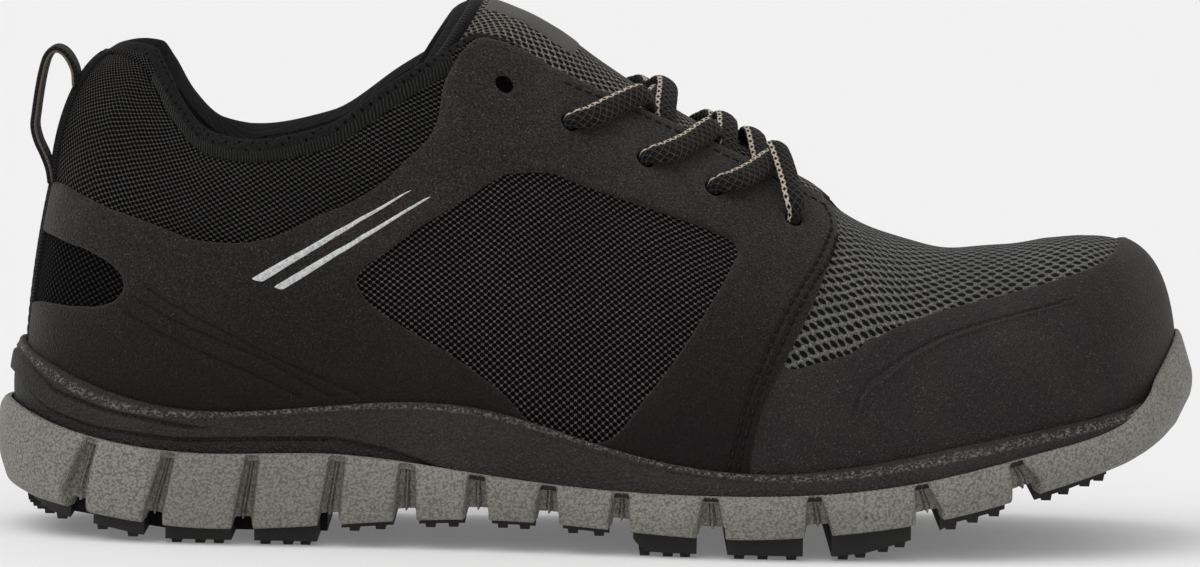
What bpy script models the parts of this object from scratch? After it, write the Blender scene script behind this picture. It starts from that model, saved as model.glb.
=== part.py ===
# Low safety sneaker, right foot, empty and laced. Lengths in metres, Z up, toe along +X.
# The outer side of the foot faces -Y and the inner side faces +Y.
# Every table is in shares of the sizes below, so the shoe can be graded by changing them.
import bpy
import bmesh
import numpy as np
from mathutils import Vector
from mathutils.geometry import delaunay_2d_cdt

SHOE_LENGTH = 0.296
BALL_WIDTH = 0.098
UPPER_HEIGHT = 0.1242
SOLE_HEIGHT = 0.0464

HEEL_OVERHANG = 0.0070
TOE_OVERHANG = 0.0050
UPPER_LENGTH = SHOE_LENGTH - HEEL_OVERHANG - TOE_OVERHANG

WALL = 0.0022
GAP = 0.0003
OVERLAY = 0.0011
TOE_SKIN = 0.0011
CUP_GAP = 3 * GAP + OVERLAY
RIM_WALL = 0.0018
FLOOR = 0.0020
INSOLE = 0.0035
INSOLE_INSET = 0.0012
STRIP_HALF = 0.5
LACE_ROOM = 0.0036
LACE_WIDTH = 0.0052
LACE_THICK = 0.0021
EYELET_RADIUS = 0.0021
LOOP_WIDTH = 0.0140
LOOP_THICK = 0.0019
MIDSOLE_FLOOR = 0.0036
JOINT_GAP = 0.0006
PATCH_THICK = 0.0007

# The loop of stations runs from the heel seam along the outer side to the toe tip,
# then back along the inner side. A station is a place along the foot's outline.
TOE_STATION = 14
LOOP = 2 * TOE_STATION
THROAT_STATION = 9.32

# along (share of the upper's length), outer side, inner side (shares of the ball width)
OUTLINE = np.array([
    (0.000, 0.000, 0.000),
    (0.010, 0.145, 0.145),
    (0.037, 0.250, 0.248),
    (0.089, 0.324, 0.318),
    (0.170, 0.352, 0.336),
    (0.275, 0.354, 0.308),
    (0.390, 0.380, 0.292),
    (0.502, 0.434, 0.345),
    (0.607, 0.480, 0.440),
    (0.702, 0.484, 0.502),
    (0.790, 0.450, 0.506),
    (0.870, 0.388, 0.468),
    (0.934, 0.292, 0.392),
    (0.976, 0.150, 0.272),
    (1.000, -0.062, 0.062),
])

# seat, rim, joint, lug (shares of the sole's height)
SOLE_LINES = np.array([
    (0.580, 1.000, 0.668, 0.200),
    (0.578, 0.960, 0.650, 0.185),
    (0.574, 0.880, 0.582, 0.165),
    (0.566, 0.760, 0.500, 0.118),
    (0.556, 0.690, 0.457, 0.078),
    (0.546, 0.735, 0.466, 0.112),
    (0.500, 0.740, 0.390, 0.156),
    (0.420, 0.560, 0.324, 0.134),
    (0.366, 0.444, 0.310, 0.100),
    (0.356, 0.470, 0.336, 0.135),
    (0.404, 0.570, 0.420, 0.216),
    (0.500, 0.668, 0.545, 0.342),
    (0.610, 0.745, 0.655, 0.450),
    (0.665, 0.815, 0.735, 0.505),
    (0.695, 0.840, 0.760, 0.530),
])

# lip top (share of the sole's height above the joint), rim reach, band reach,
# lug reach, corner height, corner depth (metres at the stated station)
SOLE_EDGES = np.array([
    (0.026, 0.0035, 0.0042, 0.0070, 0.0085, 0.0062),
    (0.026, 0.0035, 0.0042, 0.0068, 0.0078, 0.0055),
    (0.026, 0.0035, 0.0043, 0.0064, 0.0050, 0.0034),
    (0.026, 0.0035, 0.0044, 0.0062, 0.0022, 0.0016),
    (0.026, 0.0035, 0.0044, 0.0062, 0.0018, 0.0013),
    (0.026, 0.0035, 0.0044, 0.0064, 0.0018, 0.0013),
    (0.026, 0.0035, 0.0044, 0.0064, 0.0018, 0.0013),
    (0.026, 0.0035, 0.0044, 0.0064, 0.0018, 0.0013),
    (0.026, 0.0035, 0.0044, 0.0066, 0.0018, 0.0013),
    (0.026, 0.0035, 0.0044, 0.0066, 0.0018, 0.0013),
    (0.026, 0.0035, 0.0044, 0.0064, 0.0020, 0.0014),
    (0.026, 0.0034, 0.0040, 0.0060, 0.0030, 0.0020),
    (0.040, 0.0030, 0.0034, 0.0056, 0.0050, 0.0034),
    (0.200, 0.0028, 0.0029, 0.0052, 0.0090, 0.0080),
    (0.385, 0.0027, 0.0027, 0.0050, 0.0130, 0.0120),
])

# station, along, centre, half width, height, slope, low handle, high handle, bulge, pad
TOP_LINE = np.array([
    (0.00, 0.070, 0.000, 0.000, 0.950, 20, 0.40, 0.13, 0.102, 0.0125),
    (1.00, 0.083, 0.000, 0.100, 0.953, 25, 0.40, 0.13, 0.122, 0.0120),
    (2.00, 0.101, 0.000, 0.163, 0.944, 42, 0.40, 0.16, 0.143, 0.0110),
    (2.60, 0.114, 0.000, 0.207, 0.905, 58, 0.40, 0.20, 0.163, 0.0100),
    (3.20, 0.133, 0.000, 0.262, 0.835, 68, 0.40, 0.25, 0.184, 0.0085),
    (3.80, 0.160, 0.000, 0.306, 0.782, 76, 0.40, 0.30, 0.204, 0.0070),
    (4.30, 0.195, 0.000, 0.330, 0.770, 80, 0.40, 0.30, 0.204, 0.0060),
    (5.00, 0.258, 0.000, 0.344, 0.800, 80, 0.40, 0.30, 0.204, 0.0050),
    (5.60, 0.320, 0.004, 0.334, 0.896, 76, 0.42, 0.30, 0.204, 0.0040),
    (6.00, 0.360, 0.008, 0.312, 0.955, 70, 0.42, 0.30, 0.204, 0.0028),
    (6.35, 0.392, 0.012, 0.280, 1.000, 64, 0.43, 0.30, 0.204, 0.0014),
    (6.60, 0.420, 0.015, 0.258, 0.985, 60, 0.43, 0.30, 0.184, 0.0006),
    (6.90, 0.452, 0.018, 0.238, 0.934, 55, 0.44, 0.30, 0.184, 0.0),
    (7.40, 0.505, 0.022, 0.210, 0.884, 49, 0.46, 0.31, 0.184, 0.0),
    (8.00, 0.585, 0.028, 0.170, 0.798, 42, 0.50, 0.34, 0.153, 0.0),
    (8.60, 0.648, 0.032, 0.142, 0.731, 35, 0.53, 0.37, 0.133, 0.0),
    (9.00, 0.686, 0.035, 0.120, 0.686, 26, 0.56, 0.42, 0.122, 0.0),
    (9.20, 0.699, 0.036, 0.085, 0.666, 15, 0.58, 0.48, 0.122, 0.0),
    (9.32, 0.706, 0.037, 0.000, 0.650, 0, 0.60, 0.54, 0.122, 0.0),
    (10.00, 0.766, 0.042, 0.000, 0.596, 0, 0.62, 0.58, 0.122, 0.0),
    (10.60, 0.810, 0.046, 0.000, 0.583, 0, 0.66, 0.60, 0.122, 0.0),
    (11.20, 0.850, 0.050, 0.000, 0.589, 0, 0.70, 0.62, 0.102, 0.0),
    (12.00, 0.885, 0.056, 0.000, 0.603, 0, 0.76, 0.64, 0.082, 0.0),
    (13.00, 0.910, 0.064, 0.000, 0.609, 0, 0.82, 0.66, 0.051, 0.0),
    (14.00, 0.920, 0.070, 0.000, 0.610, 0, 0.84, 0.68, 0.031, 0.0),
])
ALONG, CENTRE, HALF, HEIGHT, SLOPE, LOW, HIGH, BULGE, PAD = range(1, 10)

# The facets of the upper: columns of one side, and rises from the sole to the top line
COLUMNS = (0, 0.5, 1, 1.5, 2, 2.5, 3, 3.5, 4, 4.5, 5, 5.5, 6, 6.35, 6.8, 7.4, 8, 8.5,
           8.85, 9.1, 9.24, 9.32, 9.7, 10.2, 10.7, 11.2, 11.7, 12.2, 12.7, 13.2, 13.6, 14)
RISES = np.array((0, 0.09, 0.24, 0.42, 0.58, 0.72, 0.86, 1.0))

# Overlay outlines: station, rise
COLLAR_EDGE = ((1.07, 0.511), (1.73, 0.51), (2.38, 0.524), (3.03, 0.582), (3.57, 0.631),
               (4.1, 0.645), (4.53, 0.681), (4.87, 0.728), (5.19, 0.749), (5.4, 0.757),
               (5.59, 0.786), (5.76, 0.814), (5.85, 0.851), (5.88, 0.9), (5.88, 0.95))
SADDLE_EDGE = ((9.14, 0.9), (9.13, 0.843), (9.03, 0.733), (8.87, 0.577), (8.67, 0.415),
               (8.5, 0.301), (8.35, 0.213), (8.27, 0.136), (8.2, 0.02))
SIDE_WINDOW = ((5.13, 0.5), (5.14, 0.45), (5.18, 0.418), (5.44, 0.311), (5.82, 0.216),
               (6.21, 0.128), (6.45, 0.068), (6.68, 0.05), (7.04, 0.07), (7.3, 0.157),
               (7.62, 0.286), (7.88, 0.428), (8.09, 0.572), (8.14, 0.618), (8.1, 0.645),
               (7.98, 0.655), (7.6, 0.649), (7.11, 0.659), (6.68, 0.654), (6.53, 0.649),
               (6.38, 0.637), (6.28, 0.626), (5.97, 0.609), (5.66, 0.575), (5.37, 0.537),
               (5.19, 0.519))
HEEL_WINDOW = ((0.86, 0.38), (0.95, 0.395), (1.67, 0.394), (2.31, 0.402), (2.7, 0.406),
               (2.89, 0.395), (2.92, 0.371), (2.84, 0.333), (2.66, 0.304), (2.21, 0.273),
               (1.55, 0.261), (0.95, 0.257), (0.86, 0.27))
TOE_EDGE = ((8.54, 0.295), (8.79, 0.318), (9.12, 0.352), (9.42, 0.388), (9.78, 0.467),
            (10.38, 0.535), (11.14, 0.568), (11.85, 0.585), (12.38, 0.621), (12.79, 0.668),
            (13.3, 0.745), (13.65, 0.775))
TOE_EDGE_TIP = 0.785
BOTTOM_RISE = 0.02
TOP_RISE = 0.975
EYELETS = ((6.42, 0.865), (6.92, 0.836), (7.51, 0.805), (7.99, 0.811), (8.67, 0.814))

# station, buried rise, crown along, crown height, reach, thickness, clearance
TONGUE = np.array([
    (5.62, 0.900, 0.361, 1.054, 0.160, 0.0062, 0.0010),
    (6.00, 0.840, 0.392, 1.062, 0.160, 0.0085, 0.0010),
    (6.35, 0.780, 0.424, 1.040, 0.150, 0.0088, 0.0016),
    (6.75, 0.740, 0.454, 1.006, 0.130, 0.0084, 0.0036),
    (7.20, 0.740, 0.493, 0.944, 0.110, 0.0076, 0.0036),
    (7.70, 0.740, 0.540, 0.876, 0.090, 0.0068, 0.0036),
    (8.20, 0.740, 0.598, 0.803, 0.075, 0.0060, 0.0036),
    (8.70, 0.740, 0.652, 0.742, 0.060, 0.0054, 0.0036),
    (9.05, 0.740, 0.690, 0.686, 0.040, 0.0048, 0.0036),
    (9.32, 0.740, 0.706, 0.000, 0.000, 0.0042, 0.0027),
    (9.70, 0.760, 0.740, 0.000, 0.000, 0.0030, 0.0014),
    (10.10, 0.800, 0.770, 0.000, 0.000, 0.0026, 0.0010),
])
PATCH_ROWS = (1, 4)
# eyelet, how far forward its strand leaves the eyestay, and where the two strands cross
LACE_CROSSINGS = ((1, 0.60, 1.38), (2, 0.46, 1.42), (3, 0.50, 1.00))
LACE_STEPS = (0.45,)
PATCH_COLUMNS = (4, 7)

# Twelve side grooves: middle at the top, middle at the foot, width at the top, at the foot
# (shares of the shoe's length)
GROOVES = np.array([
    (0.0886, 0.0788, 0.0074, 0.0191),
    (0.1480, 0.1386, 0.0085, 0.0140),
    (0.2154, 0.2100, 0.0098, 0.0186),
    (0.2856, 0.2812, 0.0119, 0.0201),
    (0.3442, 0.3449, 0.0123, 0.0209),
    (0.4025, 0.4046, 0.0131, 0.0222),
    (0.4618, 0.4630, 0.0125, 0.0223),
    (0.5216, 0.5223, 0.0114, 0.0195),
    (0.5931, 0.5962, 0.0117, 0.0248),
    (0.6753, 0.6807, 0.0108, 0.0231),
    (0.7604, 0.7689, 0.0103, 0.0239),
    (0.8363, 0.8465, 0.0098, 0.0246),
])
GROOVE_DEPTH = 0.0042
GROOVE_WALL = 0.0012
CROSS_GROOVE = 0.0028
HEEL_END = (0.5, 1.0, 1.5)
TOE_END = (13.6, 13.2, 12.7, 12.2, 11.7, 11.2)

# height of the tread: along (share of the length), height (share of the sole's height)
TREAD_LINE = np.array([
    (0.000, 0.240), (0.027, 0.136), (0.057, 0.092), (0.081, 0.068), (0.125, 0.017),
    (0.145, 0.000), (0.287, 0.000), (0.331, 0.034), (0.392, 0.064), (0.449, 0.060),
    (0.507, 0.026), (0.530, 0.006), (0.557, 0.000), (0.692, 0.000), (0.720, 0.019),
    (0.760, 0.091), (0.787, 0.146), (0.841, 0.254), (0.872, 0.308), (0.916, 0.400),
    (0.959, 0.485), (1.000, 0.560),
])
TREAD_INSET = 0.0018
UNDERSIDE = 0.0010

# pull loop seen from the side: along, height (shares of length and upper's height)
LOOP_PATH = ((0.0590, 0.880), (0.0560, 0.916), (0.0465, 0.950), (0.0385, 0.957),
             (0.0320, 0.938), (0.0285, 0.908), (0.0255, 0.868), (0.0232, 0.820),
             (0.0222, 0.790), (0.0258, 0.765), (0.0330, 0.735), (0.0360, 0.700))


def closed_spline(values):
    # A smooth closed curve through evenly spaced values
    count = len(values)
    eye = np.eye(count)
    matrix = 4 * eye + np.roll(eye, 1, 0) + np.roll(eye, -1, 0)
    bend = np.linalg.solve(matrix, 6 * (np.roll(values, -1) - 2 * values + np.roll(values, 1)))

    def at(u):
        u = np.asarray(u, float)
        first = np.floor(u).astype(int)
        f = u - first
        i, j = first % count, (first + 1) % count
        g = 1 - f
        return g * values[i] + f * values[j] + ((g**3 - g) * bend[i] + (f**3 - f) * bend[j]) / 6
    return at


def around(outer, inner):
    return closed_spline(np.concatenate([outer, inner[-2:0:-1]]))


def steady(at, knots, values):
    # A curve through a table that never overshoots its rows
    step = np.diff(knots)
    rise = np.diff(values) / step
    slope = np.zeros(len(knots))
    same = rise[:-1] * rise[1:] > 0
    near, far = 2 * step[1:] + step[:-1], step[1:] + 2 * step[:-1]
    low, high = np.where(same, rise[:-1], 1), np.where(same, rise[1:], 1)
    slope[1:-1] = np.where(same, (near + far) / (near / low + far / high), 0)
    slope[0], slope[-1] = rise[0], rise[-1]
    i = np.clip(np.searchsorted(knots, at, side="right") - 1, 0, len(step) - 1)
    h = step[i]
    f = (at - knots[i]) / h
    return ((2 * f**3 - 3 * f**2 + 1) * values[i] + (f**3 - 2 * f**2 + f) * h * slope[i]
            + (3 * f**2 - 2 * f**3) * values[i + 1] + (f**3 - f**2) * h * slope[i + 1])


along_line = around(OUTLINE[:, 0], OUTLINE[:, 0])
across_line = around(-OUTLINE[:, 1], OUTLINE[:, 2])
seat_line, rim_line, joint_line, lug_line = (around(c, c) for c in SOLE_LINES.T)
lip_line, rim_reach, band_reach, lug_reach, corner_height, corner_depth = (
    around(c, c) for c in SOLE_EDGES.T)

STATIONS = TOP_LINE[:, 0]
KNOTS = np.concatenate([-STATIONS[1:4][::-1], STATIONS, LOOP - STATIONS[-4:-1][::-1]])


def top_value(column, station):
    values = TOP_LINE[:, column]
    sign = -1 if column == HALF else 1
    return steady(station, KNOTS, np.concatenate([sign * values[1:4][::-1], values,
                                                  values[-4:-1][::-1]]))


def fold(u):
    # Station on its own side, and the side: -1 outer, +1 inner
    u = np.mod(np.asarray(u, float), LOOP)
    return np.where(u <= TOE_STATION, u, LOOP - u), np.where(u <= TOE_STATION, -1.0, 1.0)


def foot_point(u):
    u = np.asarray(u, float)
    return np.stack([HEEL_OVERHANG + UPPER_LENGTH * along_line(u),
                     BALL_WIDTH * across_line(u), SOLE_HEIGHT * seat_line(u)], -1)


def top_point(u):
    s, side = fold(u)
    return np.stack([HEEL_OVERHANG + UPPER_LENGTH * top_value(ALONG, s),
                     BALL_WIDTH * (top_value(CENTRE, s) + side * top_value(HALF, s)),
                     UPPER_HEIGHT * top_value(HEIGHT, s)], -1)


def ease(x):
    x = np.clip(x, 0, 1)
    return x * x * (3 - 2 * x)


def closing(s):
    # 0 where the ribs stand open at the laces, 1 where they meet over the vamp
    return ease((s - 8.5) / 1.6)


def ridge_fall(s):
    # How fast the ridge of the vamp climbs along the shoe
    s = np.clip(s, THROAT_STATION, TOE_STATION - 0.5)
    climb = UPPER_HEIGHT * (top_value(HEIGHT, s + 0.05) - top_value(HEIGHT, s - 0.05))
    return climb / (UPPER_LENGTH * (top_value(ALONG, s + 0.05) - top_value(ALONG, s - 0.05)))


def upper_point(u, v):
    # The outside of the upper: one rib per station, from the sole's edge up to the top line
    u, v = np.broadcast_arrays(np.asarray(u, float), np.asarray(v, float))
    s, _ = fold(u)
    foot, top = foot_point(u), top_point(u)
    flat = (foot - top) * (1, 1, 0)
    reach = np.linalg.norm(flat, axis=-1, keepdims=True)
    out = flat / reach
    height = (top - foot)[..., 2]
    slope = np.radians(top_value(SLOPE, s))
    shut = closing(s)
    rise = np.stack([0 * s, 0 * s, top_value(LOW, s) * height], -1)
    low = foot + out * (0.1 * top_value(BULGE, s) * BALL_WIDTH)[..., None] + rise
    span = shut * reach[..., 0] + (1 - shut) * np.sqrt(reach[..., 0]**2 + height**2)
    level = np.cos(slope)
    down = shut * out[..., 0] * ridge_fall(s) - np.sin(slope)
    lean = np.concatenate([out[..., :2] * level[..., None], down[..., None]], -1)
    high = top + lean * (span * top_value(HIGH, s))[..., None]
    v = v[..., None]
    w = 1 - v
    return w**3 * foot + 3 * w**2 * v * low + 3 * w * v**2 * high + v**3 * top


def unit(a):
    return a / np.linalg.norm(a, axis=-1, keepdims=True)


def upper_normal(u, v):
    u, v = np.broadcast_arrays(np.asarray(u, float), np.asarray(v, float))
    s, _ = fold(u)
    shut = s >= THROAT_STATION - 1e-6
    inside = np.clip(v, 0.004, np.where(shut, 0.96, 0.996))
    e = 0.002
    du = upper_point(u + e, inside) - upper_point(u - e, inside)
    dv = upper_point(u, inside + e) - upper_point(u, inside - e)
    normal = unit(np.cross(du, dv))
    fall = ridge_fall(s)
    ridge = unit(np.stack([-fall, 0 * fall, 1 + 0 * fall], -1))
    blend = np.where(shut, np.clip((v - 0.9) / 0.1, 0, 1), 0)[..., None]
    return unit(normal * (1 - blend) + ridge * blend)


def wall_depth(u, v):
    # The wall, thicker where the collar is padded
    s, _ = fold(u)
    swell = ease((v - 0.5) / 0.3) * (1 - 0.3 * ease((v - 0.85) / 0.15))
    return WALL + top_value(PAD, s) * swell


def lining_point(u, v, clear=0.0):
    u, v = np.broadcast_arrays(np.asarray(u, float), np.asarray(v, float))
    return upper_point(u, v) - upper_normal(u, v) * (wall_depth(u, v) + clear)[..., None]


LOOP_COLUMNS = np.array(COLUMNS + tuple(LOOP - u for u in COLUMNS[-2:0:-1]), float)
LOOP_COUNT = len(LOOP_COLUMNS)


def skin(depth):
    u, v = np.meshgrid(LOOP_COLUMNS, RISES, indexing="ij")
    return upper_point(u, v) + upper_normal(u, v) * depth


def skin_point(u, v, points):
    # A place on the flat facets of a skin, so that overlays lie parallel to the upper
    edges = np.append(LOOP_COLUMNS, LOOP)
    u = u % LOOP
    i = int(np.clip(np.searchsorted(edges, u, side="right") - 1, 0, LOOP_COUNT - 1))
    j = int(np.clip(np.searchsorted(RISES, v, side="right") - 1, 0, len(RISES) - 2))
    a = (u - edges[i]) / (edges[i + 1] - edges[i])
    b = (v - RISES[j]) / (RISES[j + 1] - RISES[j])
    k = (i + 1) % LOOP_COUNT
    if b <= a:
        return (1 - a) * points[i, j] + (a - b) * points[k, j] + b * points[k, j + 1]
    return (1 - b) * points[i, j] + a * points[k, j + 1] + (b - a) * points[i, j + 1]


class Mesh:
    # Points and faces of one solid, welded when it is finished
    def __init__(self):
        self.points = []
        self.faces = []

    def add(self, rows):
        start = len(self.points)
        self.points.extend(np.asarray(rows, float).reshape(-1, 3))
        return np.arange(start, len(self.points))

    def face(self, *corners):
        self.faces.append(tuple(int(c) for c in corners))

    def band(self, lower, upper, shut=True):
        count = len(lower)
        for i in range(count if shut else count - 1):
            j = (i + 1) % count
            self.face(lower[i], lower[j], upper[j])
            self.face(lower[i], upper[j], upper[i])

    def ladder(self, ring, up=True):
        # Closes a loop whose two sides pair up, with one strip across per column
        count = len(ring)
        half = count // 2
        for i in range(half):
            a, b = ring[i], ring[i + 1]
            c, d = ring[(count - i - 1) % count], ring[(count - i) % count]
            if i == 0:
                corners = [(a, b, c)]
            elif i == half - 1:
                corners = [(a, b, d)]
            else:
                corners = [(a, b, c), (a, c, d)]
            for face in corners:
                self.face(*(face if up else face[::-1]))

    def slab(self, outer, inner):
        # A closed sheet between two grids of points; outer faces away from inner
        rows, columns = outer.shape[:2]
        a = self.add(outer).reshape(rows, columns)
        b = self.add(inner).reshape(rows, columns)
        for i in range(rows - 1):
            self.band(a[i], a[i + 1], False)
            self.band(b[i + 1], b[i], False)
        self.band(b[0], a[0], False)
        self.band(a[-1], b[-1], False)
        self.band(a[:, 0], b[:, 0], False)
        self.band(b[:, -1], a[:, -1], False)

    def tube(self, rings):
        rows = [self.add(ring) for ring in rings]
        for lower, upper in zip(rows, rows[1:]):
            self.band(lower, upper)
        for ring, up in ((rows[0], False), (rows[-1], True)):
            for i in range(1, len(ring) - 1):
                face = (ring[0], ring[i], ring[i + 1])
                self.face(*(face if up else face[::-1]))


def piece(name, mesh, flip=False):
    data = bpy.data.meshes.new(name)
    data.from_pydata([tuple(p) for p in mesh.points], [], mesh.faces)
    body = bmesh.new()
    body.from_mesh(data)
    bmesh.ops.remove_doubles(body, verts=body.verts, dist=2e-6)
    if flip:
        bmesh.ops.reverse_faces(body, faces=body.faces)
    body.to_mesh(data)
    body.free()
    result = bpy.data.objects.new(name, data)
    shoe.objects.link(result)
    return result


def make_upper():
    mesh = Mesh()
    outer = skin(0.0)
    inner = np.stack([lining_point(LOOP_COLUMNS, v) for v in RISES], 1)
    inner[:, 0] = lining_point(LOOP_COLUMNS, 0.0) * (1, 1, 0) + foot_point(LOOP_COLUMNS) * (0, 0, 1)
    inner[:, 0, 2] += FLOOR
    a = mesh.add(outer).reshape(outer.shape[:2])
    b = mesh.add(inner).reshape(inner.shape[:2])
    mesh.ladder(a[:, 0], False)
    for j in range(len(RISES) - 1):
        mesh.band(a[:, j], a[:, j + 1])
        mesh.band(b[:, j + 1], b[:, j])
    mesh.ladder(b[:, 0], True)
    s, _ = fold(LOOP_COLUMNS)
    edge, lining = outer[:, -1], inner[:, -1]
    rise = unit(edge - upper_point(LOOP_COLUMNS, 0.98))
    width = np.linalg.norm(lining - edge, axis=-1, keepdims=True)
    width = np.where((s >= THROAT_STATION - 1e-6)[:, None], 0.4 * width, width)
    ring = [a[:, -1]]
    for part in (0.28, 0.72):
        ring.append(mesh.add(edge + (lining - edge) * part
                             + rise * width * 0.4 * np.sin(np.pi * part)))
    ring.append(b[:, -1])
    last = COLUMNS.index(THROAT_STATION)
    tip = [a[last, -1], ring[1][last], ring[2][last], b[last, -1]]
    ring[1][LOOP_COUNT - last] = ring[1][last]
    ring[2][LOOP_COUNT - last] = ring[2][last]
    for lower, upper in zip(ring, ring[1:]):
        for i in list(range(last)) + list(range(LOOP_COUNT - last, LOOP_COUNT)):
            j = (i + 1) % LOOP_COUNT
            mesh.face(lower[i], lower[j], upper[j])
            mesh.face(lower[i], upper[j], upper[i])
    return piece("upper", mesh)


def inside_outline(point, outline):
    x, y = point
    hit = False
    for (x1, y1), (x2, y2) in zip(outline, outline[1:] + outline[:1]):
        if (y1 > y) != (y2 > y) and x < (x2 - x1) * (y - y1) / (y2 - y1) + x1:
            hit = not hit
    return hit


def make_overlay(name, outline, holes, low, high):
    # A flat pattern is cut along the facets of the upper, then laid on them
    tall = 20.0
    points, edges = [], []

    def path(rows, shut):
        start = len(points)
        points.extend(Vector((u, v * tall)) for u, v in rows)
        edges.extend((start + i, start + i + 1) for i in range(len(rows) - 1))
        if shut:
            edges.append((start + len(rows) - 1, start))
    for rows in [outline] + holes:
        path(rows, True)
    left, right = min(u for u, _ in outline) - 0.01, max(u for u, _ in outline) + 0.01
    all_columns = np.concatenate([LOOP_COLUMNS - LOOP, LOOP_COLUMNS, LOOP_COLUMNS + LOOP])
    wide = [u for u in all_columns if left - 0.8 < u < right + 0.8]
    for u in wide:
        path([(u, 0.0), (u, 1.0)], False)
    for v in RISES:
        path([(wide[0], v), (wide[-1], v)], False)
    for u1, u2 in zip(wide, wide[1:]):
        for v1, v2 in zip(RISES, RISES[1:]):
            path([(u1, v1), (u2, v2)], False)
    verts, _, faces, *_ = delaunay_2d_cdt(points, edges, [], 0, 1e-5)
    flat = [(p.x, p.y / tall) for p in verts]
    kept = []
    for face in faces:
        middle = (sum(flat[i][0] for i in face) / 3, sum(flat[i][1] for i in face) / 3)
        if inside_outline(middle, outline) and not any(inside_outline(middle, h) for h in holes):
            kept.append(tuple(face))
    layers = [skin(low), skin(high)]
    spots = {}
    for face in kept:
        for i in face:
            if i not in spots:
                spots[i] = skin_point(flat[i][0], flat[i][1], layers[0])
    # very short edges of the pattern are closed up
    merged = {i: i for i in spots}
    order = sorted(spots)
    places = np.array([spots[i] for i in order])
    for n, i in enumerate(order):
        if merged[i] != i:
            continue
        near = np.nonzero(np.linalg.norm(places[n + 1:] - places[n], axis=1) < 0.00012)[0]
        for k in near:
            if merged[order[n + 1 + k]] == order[n + 1 + k]:
                merged[order[n + 1 + k]] = i
    mesh = Mesh()
    used = sorted(set(merged.values()))
    number = {i: n for n, i in enumerate(used)}
    lower = mesh.add([skin_point(*flat[i], layers[0]) for i in used])
    upper = mesh.add([skin_point(*flat[i], layers[1]) for i in used])
    border = {}
    for face in kept:
        corners = [number[merged[i]] for i in face]
        if len(set(corners)) < 3:
            continue
        mesh.face(*(upper[c] for c in corners))
        mesh.face(*(lower[c] for c in corners[::-1]))
        for a, b in zip(corners, corners[1:] + corners[:1]):
            if (b, a) in border:
                del border[b, a]
            else:
                border[a, b] = True
    for a, b in border:
        mesh.face(lower[a], lower[b], upper[b])
        mesh.face(lower[a], upper[b], upper[a])
    return piece(name, mesh)


def mirrored(rows):
    return [(LOOP - u, v) for u, v in rows][::-1]


def make_overlays():
    quarter = [(STRIP_HALF + 0.03, BOTTOM_RISE), (STRIP_HALF + 0.03, 0.511)]
    quarter += list(COLLAR_EDGE) + [(5.92, TOP_RISE), (9.12, TOP_RISE)] + list(SADDLE_EDGE)
    windows = [list(SIDE_WINDOW), list(HEEL_WINDOW)]
    low, high = GAP, GAP + OVERLAY
    made = [make_overlay("quarter_overlay_outer", quarter, windows, low, high)]
    made.append(make_overlay("quarter_overlay_inner", mirrored(quarter),
                             [mirrored(w) for w in windows], low, high))
    rear = [(u + 0.035, v) for u, v in SADDLE_EDGE[::-1][:4]]
    side = rear + list(TOE_EDGE)
    toe = side + [(TOE_STATION, TOE_EDGE_TIP)] + mirrored(side)
    make_overlay("toe_overlay", toe, [], low, GAP + TOE_SKIN)
    strip = [(-STRIP_HALF, BOTTOM_RISE), (STRIP_HALF, BOTTOM_RISE),
             (STRIP_HALF, 0.97), (-STRIP_HALF, 0.97)]
    make_overlay("heel_strip", strip, [], low, high)
    return made


def rise_at(goal, u):
    # The rise where the upper reaches a height
    low, high = np.zeros(len(u)), np.ones(len(u))
    for _ in range(30):
        middle = (low + high) / 2
        under = upper_point(u, middle)[:, 2] < goal
        low, high = np.where(under, middle, low), np.where(under, high, middle)
    return (low + high) / 2


def sideways(u):
    # Level direction out of the sole's outline
    run = foot_point(u + 0.01) - foot_point(u - 0.01)
    return unit(np.stack([run[..., 1], -run[..., 0], 0 * run[..., 0]], -1))


def outline_ring(u, reach, height):
    point = foot_point(u) + sideways(u) * np.broadcast_to(reach, np.shape(u))[..., None]
    point[..., 2] = height
    return point


def inner_level(u):
    return SOLE_HEIGHT * np.minimum(joint_line(u), seat_line(u)) - MIDSOLE_FLOOR


def make_midsole():
    u = LOOP_COLUMNS
    rim_rise = rise_at(SOLE_HEIGHT * rim_line(u), u)
    normal = unit(upper_normal(u, 0.05) * (1, 1, 0))
    joint, seat, rim = (SOLE_HEIGHT * line(u) for line in (joint_line, seat_line, rim_line))
    cup = [upper_point(u, rim_rise * part) + normal * CUP_GAP for part in (0.0, 0.5, 1.0)]
    cup[0][:, 2] = seat - GAP
    lip = upper_point(u, rim_rise) + normal * (CUP_GAP + rim_reach(u) - 0.0017)[:, None]
    lip[:, 2] -= 0.0006
    rows = [outline_ring(u, -0.002, inner_level(u)),
            outline_ring(u, band_reach(u) - 0.0004, joint),
            outline_ring(u, band_reach(u), joint * 0.55 + rim * 0.45), lip,
            cup[2], cup[1], cup[0]]
    mesh = Mesh()
    rings = [mesh.add(row) for row in rows]
    mesh.ladder(rings[0], False)
    for lower, upper in zip(rings, rings[1:]):
        mesh.band(lower, upper)
    mesh.ladder(rings[-1], True)
    return piece("midsole", mesh)


def station_at(share):
    # The station on the outer side whose outline stands at a share of the shoe's length
    goal = (share * SHOE_LENGTH - HEEL_OVERHANG) / UPPER_LENGTH
    table = np.linspace(0, TOE_STATION, 1401)
    return float(np.interp(goal, along_line(table), table))


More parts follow.
